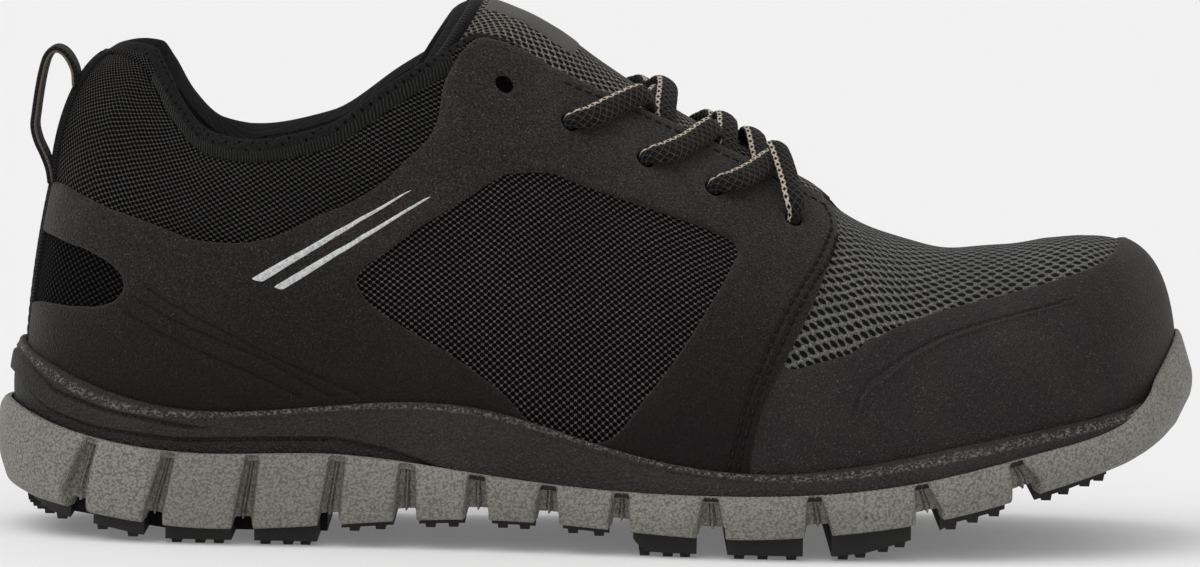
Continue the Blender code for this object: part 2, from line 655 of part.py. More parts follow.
def sole_columns():
    # top station, foot station, groove depth share; and the columns of each lug
    rows = [(0.0, 0.0, 0.0)] + [(s, s, 0.0) for s in HEEL_END]
    lugs = [[0] + list(range(1, len(rows)))]
    for top, foot, wide, open_ in GROOVES:
        wall = GROOVE_WALL / SHOE_LENGTH
        lugs[-1].append(len(rows))
        for t, f, depth in ((top - wide / 2, foot - open_ / 2, 0.0),
                            (top - wide / 2 + wall, foot - open_ / 2 + wall, 1.0),
                            (top + wide / 2 - wall * 0, foot + open_ / 2 - wall, 1.0),
                            (top + wide / 2 + wall, foot + open_ / 2, 0.0)):
            rows.append((station_at(t), station_at(f), depth))
        lugs.append([len(rows) - 1])
    for s in TOE_END[::-1]:
        lugs[-1].append(len(rows))
        rows.append((s, s, 0.0))
    lugs[-1].append(len(rows))
    rows.append((float(TOE_STATION), float(TOE_STATION), 0.0))
    return np.array(rows), lugs


def both_sides(values, mirror=True):
    back = values[-2:0:-1]
    return np.concatenate([values, LOOP - back if mirror else back])


def make_outsole():
    rows, lugs = sole_columns()
    top, foot = both_sides(rows[:, 0]), both_sides(rows[:, 1])
    groove = both_sides(rows[:, 2], False) * GROOVE_DEPTH
    lip_in = band_reach(top) + JOINT_GAP
    joint = SOLE_HEIGHT * joint_line(top)
    lip_top = joint + SOLE_HEIGHT * lip_line(top)
    raised = np.clip((lip_top - joint) / (0.385 * SOLE_HEIGHT), 0, 1)
    rim = SOLE_HEIGHT * rim_line(top)
    behind = np.clip((lip_top - rim - 0.001) / 0.004, 0, 1)
    lean = upper_point(top, rise_at(lip_top, top)) - foot_point(top)
    lean = (lean * sideways(top)).sum(-1) + CUP_GAP + GAP
    lip_near = lip_in * (1 - behind) + lean * behind
    lug = SOLE_HEIGHT * lug_line(foot) + CROSS_GROOVE * both_sides(rows[:, 2], False)
    reach = lug_reach(foot)
    corner, depth = corner_height(foot), corner_depth(foot)
    lip_out = np.maximum(band_reach(top) + JOINT_GAP + 0.0010, lug_reach(top) * 0.84)
    lip_out = lip_out - raised * 0.0020
    ground = lug + 0.0004
    inward = reach - np.maximum(depth, GROOVE_DEPTH) - TREAD_INSET
    bump = outline_ring(top, lug_reach(top) * (1 - 0.02 * raised), joint + raised * 0.0085 - 0.0010)
    rings_at = [
        outline_ring(foot, inward, lug + UNDERSIDE),
        outline_ring(foot, reach - np.maximum(depth, groove), ground),
        outline_ring(foot, reach - np.maximum(0.27 * depth, groove), lug + 0.34 * corner),
        outline_ring(foot, reach - groove, lug + corner),
        bump - sideways(top) * np.maximum(groove * 0.55, 0)[:, None],
        outline_ring(top, lip_out, lip_top),
        outline_ring(top, lip_near, lip_top),
        outline_ring(top, lip_in, np.minimum(rim + 0.001, lip_top - 0.0004)),
        outline_ring(top, lip_in, joint - JOINT_GAP),
        outline_ring(top, -0.002, inner_level(top) - JOINT_GAP),
    ]
    mesh = Mesh()
    rings = [mesh.add(row) for row in rings_at]
    mesh.ladder(rings[0], False)
    for lower, upper in zip(rings, rings[1:]):
        mesh.band(lower, upper)
    mesh.ladder(rings[-1], True)
    piece("outsole", mesh)

    tread = TREAD_LINE * (SHOE_LENGTH, SOLE_HEIGHT)
    for number, columns in enumerate(lugs):
        s = rows[columns, 1]
        if number == 0:
            u = np.concatenate([s, LOOP - s[:0:-1]])
        elif number == len(lugs) - 1:
            u = np.concatenate([s, LOOP - s[-2::-1]])
        else:
            u = np.concatenate([s, LOOP - s[::-1]])
        inset = lug_reach(u) - np.maximum(corner_depth(u), GROOVE_DEPTH) - TREAD_INSET
        lift = SOLE_HEIGHT * lug_line(u) + UNDERSIDE - GAP
        roof = outline_ring(u, inset, lift)
        base = outline_ring(u, inset - 0.0006, lift)
        base[:, 2] = np.minimum(np.interp(base[:, 0], tread[:, 0], tread[:, 1]),
                                roof[:, 2] - 0.0010)
        mesh = Mesh()
        low, high = mesh.add(base), mesh.add(roof)
        mesh.band(low, high)
        pad_caps(mesh, low, False, number, len(lugs))
        pad_caps(mesh, high, True, number, len(lugs))
        piece("tread_pad_%02d" % (number + 1), mesh)


def pad_caps(mesh, ring, up, number, total):
    # Strips across the pad from its outer side to its inner side
    count = len(ring)
    if number == 0:
        pairs = [(ring[i], ring[(count - i) % count]) for i in range(count // 2 + 1)]
    elif number == total - 1:
        pairs = [(ring[i], ring[count - 1 - i]) for i in range(count // 2 + 1)]
    else:
        pairs = [(ring[i], ring[count - 1 - i]) for i in range(count // 2)]
    for (a, d), (b, c) in zip(pairs, pairs[1:]):
        faces = []
        if b != c:
            faces.append((a, b, c))
        if a != d:
            faces.append((a, c, d))
        for face in faces:
            mesh.face(*(face if up else face[::-1]))


def make_insole():
    u = LOOP_COLUMNS
    reach = -(WALL + INSOLE_INSET)
    base = SOLE_HEIGHT * seat_line(u) + FLOOR + GAP
    mesh = Mesh()
    low = mesh.add(outline_ring(u, reach, base))
    high = mesh.add(outline_ring(u, reach, base + INSOLE))
    mesh.ladder(low, False)
    mesh.band(low, high)
    mesh.ladder(high, True)
    return piece("insole", mesh)


def tongue_grid():
    rows = []
    for s, buried, crown_along, crown_height, reach, _, clear in TONGUE:
        if s >= THROAT_STATION:
            v = buried + (1 - buried) * np.linspace(0, 1, 6)
            outer = lining_point(s, v, clear)
            inner = lining_point(LOOP - s, v, clear)
            rows.append(np.concatenate([outer, inner[-2::-1]]))
            continue
        v = np.array((buried, (1 + buried) / 2, 1.0))
        outer, inner = lining_point(s, v, clear), lining_point(LOOP - s, v, clear)
        a, d = outer[-1], inner[-1]
        crown = np.array((HEEL_OVERHANG + UPPER_LENGTH * crown_along, (a[1] + d[1]) / 2,
                          UPPER_HEIGHT * crown_height))
        push = (8 * crown - 4 * a - 4 * d) / 6
        side = np.array((0, BALL_WIDTH * reach, 0))
        b, c = a + push + side, d + push - side
        f = np.linspace(0, 1, 7)[1:-1, None]
        g = 1 - f
        arch = g**3 * a + 3 * g**2 * f * b + 3 * g * f**2 * c + f**3 * d
        rows.append(np.concatenate([outer, arch, inner[::-1]]))
    return np.array(rows)


def grid_normal(grid):
    return unit(np.cross(np.gradient(grid, axis=0), np.gradient(grid, axis=1)))


def make_tongue():
    grid = tongue_grid()
    normal = grid_normal(grid)
    thick = TONGUE[:, 5][:, None, None]
    edge = np.array((0.35, 0.75, 1, 1, 1, 1, 1, 1, 1, 0.75, 0.35))[None, :, None]
    mesh = Mesh()
    under = grid - normal * thick * edge
    mesh.slab(grid.transpose(1, 0, 2), under.transpose(1, 0, 2))
    tongue = piece("tongue", mesh)

    rows, columns = slice(*PATCH_ROWS), slice(*PATCH_COLUMNS)
    mesh = Mesh()
    mesh.slab((grid + normal * (GAP + PATCH_THICK))[rows, columns].transpose(1, 0, 2),
              (grid + normal * GAP)[rows, columns].transpose(1, 0, 2))
    piece("tongue_patch", mesh)
    return grid, normal


def on_grid(grid, normal, row, column, lift):
    i, j = int(min(row, grid.shape[0] - 1.001)), int(min(column, grid.shape[1] - 1.001))
    a, b = row - i, column - j

    def mix(values):
        return ((1 - a) * (1 - b) * values[i, j] + a * (1 - b) * values[i + 1, j]
                + (1 - a) * b * values[i, j + 1] + a * b * values[i + 1, j + 1])
    up = unit(mix(normal))
    return mix(grid) + up * lift, up


def through(points, count):
    # A smooth path through its points, at even steps of each stretch
    points = np.asarray(points, float)
    ends = np.concatenate([[2 * points[0] - points[1]], points, [2 * points[-1] - points[-2]]])
    path = []
    for i in range(len(points) - 1):
        a, b, c, d = ends[i:i + 4]
        for f in np.arange(count) / count:
            path.append(0.5 * (2 * b + (c - a) * f + (2 * a - 5 * b + 4 * c - d) * f**2
                               + (3 * b - a - 3 * c + d) * f**3))
    path.append(points[-1])
    return np.array(path)


def strand(stops):
    # An oval cord through its stops: place, up, width share, thickness share
    place = through([p for p, _, _, _ in stops], 2)
    up = unit(through([n for _, n, _, _ in stops], 2))
    size = through([(w, t, 0) for _, _, w, t in stops], 2)
    run = unit(np.gradient(place, axis=0))
    side = unit(np.cross(run, up))
    face = np.cross(side, run)
    angle = np.linspace(0, 2 * np.pi, 6, endpoint=False)[None, :, None]
    wide = (size[:, 0] * LACE_WIDTH / 2)[:, None, None]
    thick = (size[:, 1] * LACE_THICK / 2)[:, None, None]
    rings = place[:, None] + np.cos(angle) * wide * side[:, None] \
        + np.sin(angle) * thick * face[:, None]
    mesh = Mesh()
    mesh.tube(rings)
    return mesh


def make_laces(grid, normal):
    stations = TONGUE[:, 0]

    def row_of(s):
        return float(np.interp(s, stations, np.arange(len(stations))))
    outside = GAP + OVERLAY + GAP + LACE_THICK / 2

    def leave(number, inner_side, toward, extra=0.0):
        # out of an eyelet, forward along the eyestay and over its edge
        s, v = EYELETS[number]
        u = LOOP - s if inner_side else s
        lean = LOOP - s - toward if inner_side else s + toward
        out = upper_normal(u, v)
        hole = upper_point(u, v)
        across = unit(upper_point(lean, 1.0) - hole)
        edge_up = unit(upper_normal(lean, 1.0) + 0.8 * across)
        stops = [(hole + out * 0.0004, -across, 0.58, 1.0),
                 (hole + out * 0.0026 + across * 0.0006, unit(out - across), 0.7, 1.05)]
        for part in LACE_STEPS:
            way, rise = u + (lean - u) * part, v + (1 - v) * part**1.5
            up = upper_normal(way, rise)
            stops.append((upper_point(way, rise) + up * (outside * 1.3 + extra * part), up, 1.0, 1.0))
        stops.append((upper_point(lean, 1.0) + edge_up * (outside * 1.4 + extra), edge_up, 1.0, 1.0))
        return stops

    def over(number, inner_side, share, column, lift):
        row = row_of(EYELETS[number][0] * (1 - share) + EYELETS[number + 1][0] * share)
        spot, up = on_grid(grid, normal, row, 10 - column if inner_side else column, lift)
        return (spot, up, 1.0, 1.0)

    for number, toward, middle in LACE_CROSSINGS:
        first = leave(number, False, toward) + [
            over(number, False, middle - 0.14, 3.6, 0.0024), over(number, False, middle, 5.0, 0.0020),
            over(number, False, middle + 0.06, 6.6, 0.0020),
            over(number, False, middle + 0.10, 8.2, 0.0018),
            over(number, False, middle + 0.12, 8.9, 0.0018)]
        if number < 3:
            second = leave(number, True, toward) + [
                over(number, True, middle - 0.14, 3.6, 0.0040), over(number, True, middle, 5.0, 0.0038),
                over(number, True, middle + 0.06, 6.6, 0.0024),
                over(number, True, middle + 0.10, 8.2, 0.0018),
                over(number, True, middle + 0.12, 8.9, 0.0018)]
        else:
            down = leave(number + 1, False, -0.12, 0.0018)[::-1]
            second = leave(number, True, 0.34) + [
                over(number, True, 0.56, 3.8, 0.0040), over(number, True, 0.64, 5.0, 0.0038),
                over(number, True, 0.76, 6.4, 0.0042)] + down
        a = piece("lace_crossing_%d" % number, strand(first))
        b = piece("lace_helper_%d" % number, strand(second))
        join(a, b, "UNION")


def join(target, other, operation):
    modifier = target.modifiers.new(operation.lower(), "BOOLEAN")
    modifier.operation = operation
    modifier.solver = "EXACT"
    modifier.object = other
    if other.name in shoe.objects:
        shoe.objects.unlink(other)
        helpers.objects.link(other)
    other.hide_render = True
    other.display_type = "WIRE"


def make_eyelets(targets):
    mesh = Mesh()
    angle = np.linspace(0, 2 * np.pi, 7, endpoint=False)[:, None]
    for s, v in EYELETS:
        for u in (s, LOOP - s):
            out = upper_normal(u, v)
            side = unit(np.cross(out, (0, 0, 1)))
            other = np.cross(out, side)
            ring = upper_point(u, v) + EYELET_RADIUS * (np.cos(angle) * side + np.sin(angle) * other)
            mesh.tube([ring - out * 0.006, ring + out * 0.006])
    cutter = piece("eyelet_cutter", mesh)
    for target in targets:
        join(target, cutter, "DIFFERENCE")


def make_pull_loop():
    path = through([(x * SHOE_LENGTH, 0, z * UPPER_HEIGHT) for x, z in LOOP_PATH], 3)
    run = unit(np.gradient(path, axis=0))
    side = np.array((0.0, 1.0, 0.0))
    face = unit(np.cross(run, side))
    rings = []
    for p, n in zip(path, face):
        rings.append([p + side * LOOP_WIDTH / 2 * a + n * LOOP_THICK / 2 * b
                      for a, b in ((-1, -1), (1, -1), (1, 1), (-1, 1))])
    mesh = Mesh()
    mesh.tube(rings)
    piece("pull_loop", mesh)


def paint(name, colour, roughness):
    material = bpy.data.materials.new(name)
    material.use_nodes = True
    shader = material.node_tree.nodes["Principled BSDF"]
    shader.inputs["Base Color"].default_value = (*colour, 1)
    shader.inputs["Roughness"].default_value = roughness
    return material


for old in list(bpy.data.objects):
    bpy.data.objects.remove(old, do_unlink=True)
shoe = bpy.data.collections.new("safety_sneaker")
helpers = bpy.data.collections.new("helpers")
bpy.context.scene.collection.children.link(shoe)
bpy.context.scene.collection.children.link(helpers)

whole_upper = make_upper()
quarters = make_overlays()
make_midsole()
make_outsole()
make_insole()
tongue_outside, tongue_normal = make_tongue()
make_laces(tongue_outside, tongue_normal)
make_pull_loop()
make_eyelets([whole_upper] + quarters)

looks = {
    "upper": ("upper_mesh", (0.012, 0.012, 0.013), 0.85),
    "quarter_overlay": ("overlay_microfibre", (0.021, 0.018, 0.017), 0.7),
    "toe_overlay": ("toe_microfibre", (0.018, 0.016, 0.016), 0.7),
    "heel_strip": ("webbing", (0.012, 0.012, 0.012), 0.9),
    "pull_loop": ("loop_webbing", (0.02, 0.019, 0.017), 0.9),
    "midsole": ("midsole_foam", (0.024, 0.023, 0.023), 0.8),
    "outsole": ("outsole_rubber", (0.2, 0.2, 0.18), 0.75),
    "tread_pad": ("tread_rubber", (0.014, 0.014, 0.014), 0.7),
    "insole": ("insole_cloth", (0.02, 0.02, 0.02), 0.9),
    "tongue_patch": ("patch_sheet", (0.2, 0.2, 0.2), 0.5),
    "tongue": ("tongue_mesh", (0.03, 0.032, 0.035), 0.9),
    "lace": ("lace_braid", (0.04, 0.038, 0.035), 0.9),
}
paints = {key: paint(*value) for key, value in looks.items()}
for part in shoe.objects:
    key = max((k for k in looks if part.name.startswith(k)), key=len)
    part.data.materials.append(paints[key])

# The frame: the middle of the whole shoe's box stands over the origin, its tread on the ground
corners = np.array([v.co[:] for part in shoe.objects for v in part.data.vertices])
middle = (corners.min(0) + corners.max(0)) / 2
shift = Vector((-middle[0], -middle[1], -corners[:, 2].min()))
for part in list(shoe.objects) + list(helpers.objects):
    for vertex in part.data.vertices:
        vertex.co += shift
print("box", corners.min(0), corners.max(0), "shift", tuple(shift))
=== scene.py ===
# A low safety sneaker for the right foot, dressed over its frame for a close studio picture.
# The toe points along +X, the outer side of the foot faces -Y. Lengths are in metres.
import bmesh
import bpy
import numpy as np
from mathutils import Matrix, Vector
from mathutils.geometry import delaunay_2d_cdt


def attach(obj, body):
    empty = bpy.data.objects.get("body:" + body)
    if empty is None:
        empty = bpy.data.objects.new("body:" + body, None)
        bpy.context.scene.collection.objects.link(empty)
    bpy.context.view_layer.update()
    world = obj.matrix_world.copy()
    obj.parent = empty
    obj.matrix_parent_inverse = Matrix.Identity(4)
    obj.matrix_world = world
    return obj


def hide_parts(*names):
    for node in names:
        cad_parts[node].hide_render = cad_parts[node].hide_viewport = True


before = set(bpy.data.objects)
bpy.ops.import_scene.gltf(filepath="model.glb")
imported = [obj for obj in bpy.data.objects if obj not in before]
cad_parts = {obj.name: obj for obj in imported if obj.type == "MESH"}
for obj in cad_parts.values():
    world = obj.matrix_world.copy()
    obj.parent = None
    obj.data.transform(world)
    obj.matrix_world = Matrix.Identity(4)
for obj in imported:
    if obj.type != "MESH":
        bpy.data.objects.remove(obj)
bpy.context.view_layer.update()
print("frame loaded")

shoe = {
    "length": 0.296, "ballWidth": 0.098, "upperHeight": 0.1242, "soleHeight": 0.0464,
    "heelOverhang": 0.0070, "toeOverhang": 0.0050,
    "wall": 0.0022, "overlay": 0.0012, "toeSkin": 0.0012,
    "shift": (-0.148, -0.001033049076795578, 0.0),   # the frame stands over its middle
}
upperLength = shoe["length"] - shoe["heelOverhang"] - shoe["toeOverhang"]
toeStation = 14            # stations run from the heel seam along the outer side to the toe
loopStations = 28          # and back along the inner side
throatStation = 9.32       # where the laced opening ends on the vamp

# along (share of the upper's length), outer side, inner side (shares of the ball width)
outline = np.array([
    (0.000, 0.000, 0.000), (0.010, 0.145, 0.145), (0.037, 0.250, 0.248), (0.089, 0.324, 0.318),
    (0.170, 0.352, 0.336), (0.275, 0.354, 0.308), (0.390, 0.380, 0.292), (0.502, 0.434, 0.345),
    (0.607, 0.480, 0.440), (0.702, 0.484, 0.502), (0.790, 0.450, 0.506), (0.870, 0.388, 0.468),
    (0.934, 0.292, 0.392), (0.976, 0.150, 0.272), (1.000, -0.062, 0.062),
])
# seat, rim, joint, lug (shares of the sole's height)
soleLines = np.array([
    (0.580, 1.000, 0.668, 0.200), (0.578, 0.960, 0.650, 0.185), (0.574, 0.880, 0.582, 0.165),
    (0.566, 0.760, 0.500, 0.118), (0.556, 0.690, 0.457, 0.078), (0.546, 0.735, 0.466, 0.112),
    (0.500, 0.740, 0.390, 0.156), (0.420, 0.560, 0.324, 0.134), (0.366, 0.444, 0.310, 0.100),
    (0.356, 0.470, 0.336, 0.135), (0.404, 0.570, 0.420, 0.216), (0.500, 0.668, 0.545, 0.342),
    (0.610, 0.745, 0.655, 0.450), (0.665, 0.815, 0.735, 0.505), (0.695, 0.840, 0.760, 0.530),
])
# lip top (share above the joint), band reach, lug reach, corner height, corner depth
soleEdges = np.array([
    (0.026, 0.0042, 0.0070, 0.0085, 0.0062), (0.026, 0.0042, 0.0068, 0.0078, 0.0055),
    (0.026, 0.0043, 0.0064, 0.0050, 0.0034), (0.026, 0.0044, 0.0062, 0.0022, 0.0016),
    (0.026, 0.0044, 0.0062, 0.0018, 0.0013), (0.026, 0.0044, 0.0064, 0.0018, 0.0013),
    (0.026, 0.0044, 0.0064, 0.0018, 0.0013), (0.026, 0.0044, 0.0064, 0.0018, 0.0013),
    (0.026, 0.0044, 0.0066, 0.0018, 0.0013), (0.026, 0.0044, 0.0066, 0.0018, 0.0013),
    (0.026, 0.0044, 0.0064, 0.0020, 0.0014), (0.026, 0.0040, 0.0060, 0.0030, 0.0020),
    (0.040, 0.0034, 0.0056, 0.0050, 0.0034), (0.200, 0.0029, 0.0052, 0.0090, 0.0080),
    (0.385, 0.0027, 0.0050, 0.0130, 0.0120),
])
# station, along, centre, half width, height, slope, low handle, high handle, bulge, pad
topLine = np.array([
    (0.00, 0.070, 0.000, 0.000, 0.950, 20, 0.40, 0.13, 0.102, 0.0125),
    (1.00, 0.083, 0.000, 0.100, 0.953, 25, 0.40, 0.13, 0.122, 0.0120),
    (2.00, 0.101, 0.000, 0.163, 0.944, 42, 0.40, 0.16, 0.143, 0.0110),
    (2.60, 0.114, 0.000, 0.207, 0.905, 58, 0.40, 0.20, 0.163, 0.0100),
    (3.20, 0.133, 0.000, 0.262, 0.835, 68, 0.40, 0.25, 0.184, 0.0085),
    (3.80, 0.160, 0.000, 0.306, 0.782, 76, 0.40, 0.30, 0.204, 0.0070),
    (4.30, 0.195, 0.000, 0.330, 0.770, 80, 0.40, 0.30, 0.204, 0.0060),
    (5.00, 0.258, 0.000, 0.344, 0.800, 80, 0.40, 0.30, 0.204, 0.0050),
    (5.60, 0.320, 0.004, 0.334, 0.896, 76, 0.42, 0.30, 0.204, 0.0040),
    (6.00, 0.360, 0.008, 0.312, 0.955, 70, 0.42, 0.30, 0.204, 0.0028),
    (6.35, 0.392, 0.012, 0.280, 1.000, 64, 0.43, 0.30, 0.204, 0.0014),
    (6.60, 0.420, 0.015, 0.258, 0.985, 60, 0.43, 0.30, 0.184, 0.0006),
    (6.90, 0.452, 0.018, 0.238, 0.934, 55, 0.44, 0.30, 0.184, 0.0),
    (7.40, 0.505, 0.022, 0.210, 0.884, 49, 0.46, 0.31, 0.184, 0.0),
    (8.00, 0.585, 0.028, 0.170, 0.798, 42, 0.50, 0.34, 0.153, 0.0),
    (8.60, 0.648, 0.032, 0.142, 0.731, 35, 0.53, 0.37, 0.133, 0.0),
    (9.00, 0.686, 0.035, 0.120, 0.686, 26, 0.56, 0.42, 0.122, 0.0),
    (9.20, 0.699, 0.036, 0.085, 0.666, 15, 0.58, 0.48, 0.122, 0.0),
    (9.32, 0.706, 0.037, 0.000, 0.650, 0, 0.60, 0.54, 0.122, 0.0),
    (10.00, 0.766, 0.042, 0.000, 0.596, 0, 0.62, 0.58, 0.122, 0.0),
    (10.60, 0.810, 0.046, 0.000, 0.583, 0, 0.66, 0.60, 0.122, 0.0),
    (11.20, 0.850, 0.050, 0.000, 0.589, 0, 0.70, 0.62, 0.102, 0.0),
    (12.00, 0.885, 0.056, 0.000, 0.603, 0, 0.76, 0.64, 0.082, 0.0),
    (13.00, 0.910, 0.064, 0.000, 0.609, 0, 0.82, 0.66, 0.051, 0.0),
    (14.00, 0.920, 0.070, 0.000, 0.610, 0, 0.84, 0.68, 0.031, 0.0),
])
alongCol, centreCol, halfCol, heightCol, slopeCol, lowCol, highCol, bulgeCol, padCol = range(1, 10)


def closedSpline(values):
    # Cubic spline through evenly spaced values of a closed loop: second differences M solve
    # M[k-1] + 4 M[k] + M[k+1] = 6 (y[k-1] - 2 y[k] + y[k+1])
    count = len(values)
    eye = np.eye(count)
    matrix = 4 * eye + np.roll(eye, 1, 0) + np.roll(eye, -1, 0)
    bend = np.linalg.solve(matrix, 6 * (np.roll(values, -1) - 2 * values + np.roll(values, 1)))

    def at(u):
        u = np.asarray(u, float)
        first = np.floor(u).astype(int)
        f = u - first
        i, j = first % count, (first + 1) % count
        g = 1 - f
        return g * values[i] + f * values[j] + ((g**3 - g) * bend[i] + (f**3 - f) * bend[j]) / 6
    return at


def around(outer, inner):
    # A closed line round the shoe from the values on its two sides
    return closedSpline(np.concatenate([outer, inner[-2:0:-1]]))


def steady(at, knots, values):
    # Monotone cubic through a table: slopes are harmonic means of the neighbouring rises
    step = np.diff(knots)
    rise = np.diff(values) / step
    slope = np.zeros(len(knots))
    same = rise[:-1] * rise[1:] > 0
    near, far = 2 * step[1:] + step[:-1], step[1:] + 2 * step[:-1]
    low, high = np.where(same, rise[:-1], 1), np.where(same, rise[1:], 1)
    slope[1:-1] = np.where(same, (near + far) / (near / low + far / high), 0)
    slope[0], slope[-1] = rise[0], rise[-1]
    i = np.clip(np.searchsorted(knots, at, side="right") - 1, 0, len(step) - 1)
    h = step[i]
    f = (at - knots[i]) / h
    return ((2 * f**3 - 3 * f**2 + 1) * values[i] + (f**3 - 2 * f**2 + f) * h * slope[i]
            + (3 * f**2 - 2 * f**3) * values[i + 1] + (f**3 - f**2) * h * slope[i + 1])


alongLine = around(outline[:, 0], outline[:, 0])
acrossLine = around(-outline[:, 1], outline[:, 2])
seatLine, rimLine, jointLine, lugLine = (around(c, c) for c in soleLines.T)
lipLine, bandReach, lugReach, cornerHeight, cornerDepth = (around(c, c) for c in soleEdges.T)
topStations = topLine[:, 0]
topKnots = np.concatenate([-topStations[1:4][::-1], topStations,
                           loopStations - topStations[-4:-1][::-1]])


def topValue(column, station):
    values = topLine[:, column]
    sign = -1 if column == halfCol else 1
    return steady(station, topKnots, np.concatenate([sign * values[1:4][::-1], values,
                                                     values[-4:-1][::-1]]))


def unit(a):
    return a / np.maximum(np.linalg.norm(a, axis=-1, keepdims=True), 1e-12)


def lengthAlong(path):
    # The length of a path up to each of its points
    return np.concatenate([[0], np.cumsum(np.linalg.norm(np.diff(path, axis=0), axis=1))])


def placesAt(marks, gone, path):
    # The points of a path at given lengths along it
    return np.stack([np.interp(marks, gone, column) for column in path.T], -1)


def sampled(values, row, column):
    # Between a grid's points, a straight mix of the four around (row, column)
    i = np.clip(np.asarray(row).astype(int), 0, values.shape[0] - 2)
    j = np.clip(np.asarray(column).astype(int), 0, values.shape[1] - 2)
    a, b = np.asarray(row - i)[..., None], np.asarray(column - j)[..., None]
    return ((1 - a) * (1 - b) * values[i, j] + a * (1 - b) * values[i + 1, j]
            + (1 - a) * b * values[i, j + 1] + a * b * values[i + 1, j + 1])


def ease(x):
    # 3 x^2 - 2 x^3 between 0 and 1
    x = np.clip(x, 0, 1)
    return x * x * (3 - 2 * x)


def fold(u):
    # Station on its own side, and the side: -1 outer, +1 inner
    u = np.mod(np.asarray(u, float), loopStations)
    return np.where(u <= toeStation, u, loopStations - u), np.where(u <= toeStation, -1.0, 1.0)


def footPoint(u):
    u = np.asarray(u, float)
    return np.stack([shoe["heelOverhang"] + upperLength * alongLine(u),
                     shoe["ballWidth"] * acrossLine(u), shoe["soleHeight"] * seatLine(u)], -1)


def topPoint(u):
    s, side = fold(u)
    return np.stack([shoe["heelOverhang"] + upperLength * topValue(alongCol, s),
                     shoe["ballWidth"] * (topValue(centreCol, s) + side * topValue(halfCol, s)),
                     shoe["upperHeight"] * topValue(heightCol, s)], -1)


def closing(s):
    # 0 where the ribs stand open at the laces, 1 where they meet over the vamp
    return ease((s - 8.5) / 1.6)


def ridgeFall(s):
    # How fast the ridge of the vamp climbs along the shoe
    s = np.clip(s, throatStation, toeStation - 0.5)
    climb = shoe["upperHeight"] * (topValue(heightCol, s + 0.05) - topValue(heightCol, s - 0.05))
    return climb / (upperLength * (topValue(alongCol, s + 0.05) - topValue(alongCol, s - 0.05)))


def upperPoint(u, v):
    # One Bezier rib per station, from the sole's edge (v 0) to the top line (v 1):
    # P = (1-v)^3 foot + 3 (1-v)^2 v low + 3 (1-v) v^2 high + v^3 top
    u, v = np.broadcast_arrays(np.asarray(u, float), np.asarray(v, float))
    s, _ = fold(u)
    foot, top = footPoint(u), topPoint(u)
    flat = (foot - top) * (1, 1, 0)
    reach = np.linalg.norm(flat, axis=-1, keepdims=True)
    out = flat / reach
    height = (top - foot)[..., 2]
    slope = np.radians(topValue(slopeCol, s))
    shut = closing(s)
    rise = np.stack([0 * s, 0 * s, topValue(lowCol, s) * height], -1)
    low = foot + out * (0.1 * topValue(bulgeCol, s) * shoe["ballWidth"])[..., None] + rise
    span = shut * reach[..., 0] + (1 - shut) * np.sqrt(reach[..., 0]**2 + height**2)
    down = shut * out[..., 0] * ridgeFall(s) - np.sin(slope)
    lean = np.concatenate([out[..., :2] * np.cos(slope)[..., None], down[..., None]], -1)
    high = top + lean * (span * topValue(highCol, s))[..., None]
    v = v[..., None]
    w = 1 - v
    return w**3 * foot + 3 * w**2 * v * low + 3 * w * v**2 * high + v**3 * top


def upperNormal(u, v):
    # Cross product of the two directions of the surface, straightened along the vamp's ridge
    u, v = np.broadcast_arrays(np.asarray(u, float), np.asarray(v, float))
    s, _ = fold(u)
    shut = s >= throatStation - 1e-6
    inside = np.clip(v, 0.004, np.where(shut, 0.96, 0.996))
    e = 0.002
    du = upperPoint(u + e, inside) - upperPoint(u - e, inside)
    dv = upperPoint(u, inside + e) - upperPoint(u, inside - e)
    normal = unit(np.cross(du, dv))
    fall = ridgeFall(s)
    ridge = unit(np.stack([-fall, 0 * fall, 1 + 0 * fall], -1))
    blend = np.where(shut, np.clip((v - 0.9) / 0.1, 0, 1), 0)[..., None]
    return unit(normal * (1 - blend) + ridge * blend)


def wallDepth(u, v):
    # The wall, thicker where the collar is padded
    s, _ = fold(u)
    swell = ease((v - 0.5) / 0.3) * (1 - 0.3 * ease((v - 0.85) / 0.15))
    return shoe["wall"] + topValue(padCol, s) * swell


def liningPoint(u, v, clear=0.0):
    u, v = np.broadcast_arrays(np.asarray(u, float), np.asarray(v, float))
    return upperPoint(u, v) - upperNormal(u, v) * (wallDepth(u, v) + clear)[..., None]


def sideways(u):
    # Level direction out of the sole's outline
    run = footPoint(u + 0.01) - footPoint(u - 0.01)
    return unit(np.stack([run[..., 1], -run[..., 0], 0 * run[..., 0]], -1))


def outlineRing(u, reach, height):
    point = footPoint(u) + sideways(u) * np.broadcast_to(reach, np.shape(u))[..., None]
    point[..., 2] = height
    return point


def riseAt(goal, u):
    # The rise where the upper reaches a height, found by halving
    low, high = np.zeros(np.shape(u)), np.ones(np.shape(u))
    for _ in range(30):
        middle = (low + high) / 2
        under = upperPoint(u, middle)[..., 2] < goal
        low, high = np.where(under, middle, low), np.where(under, high, middle)
    return (low + high) / 2


stationTable = np.linspace(0, toeStation, 1401)


def stationAt(share):
    # The station on the outer side at a share of the shoe's length
    goal = (np.asarray(share) * shoe["length"] - shoe["heelOverhang"]) / upperLength
    return np.interp(goal, alongLine(stationTable), stationTable)


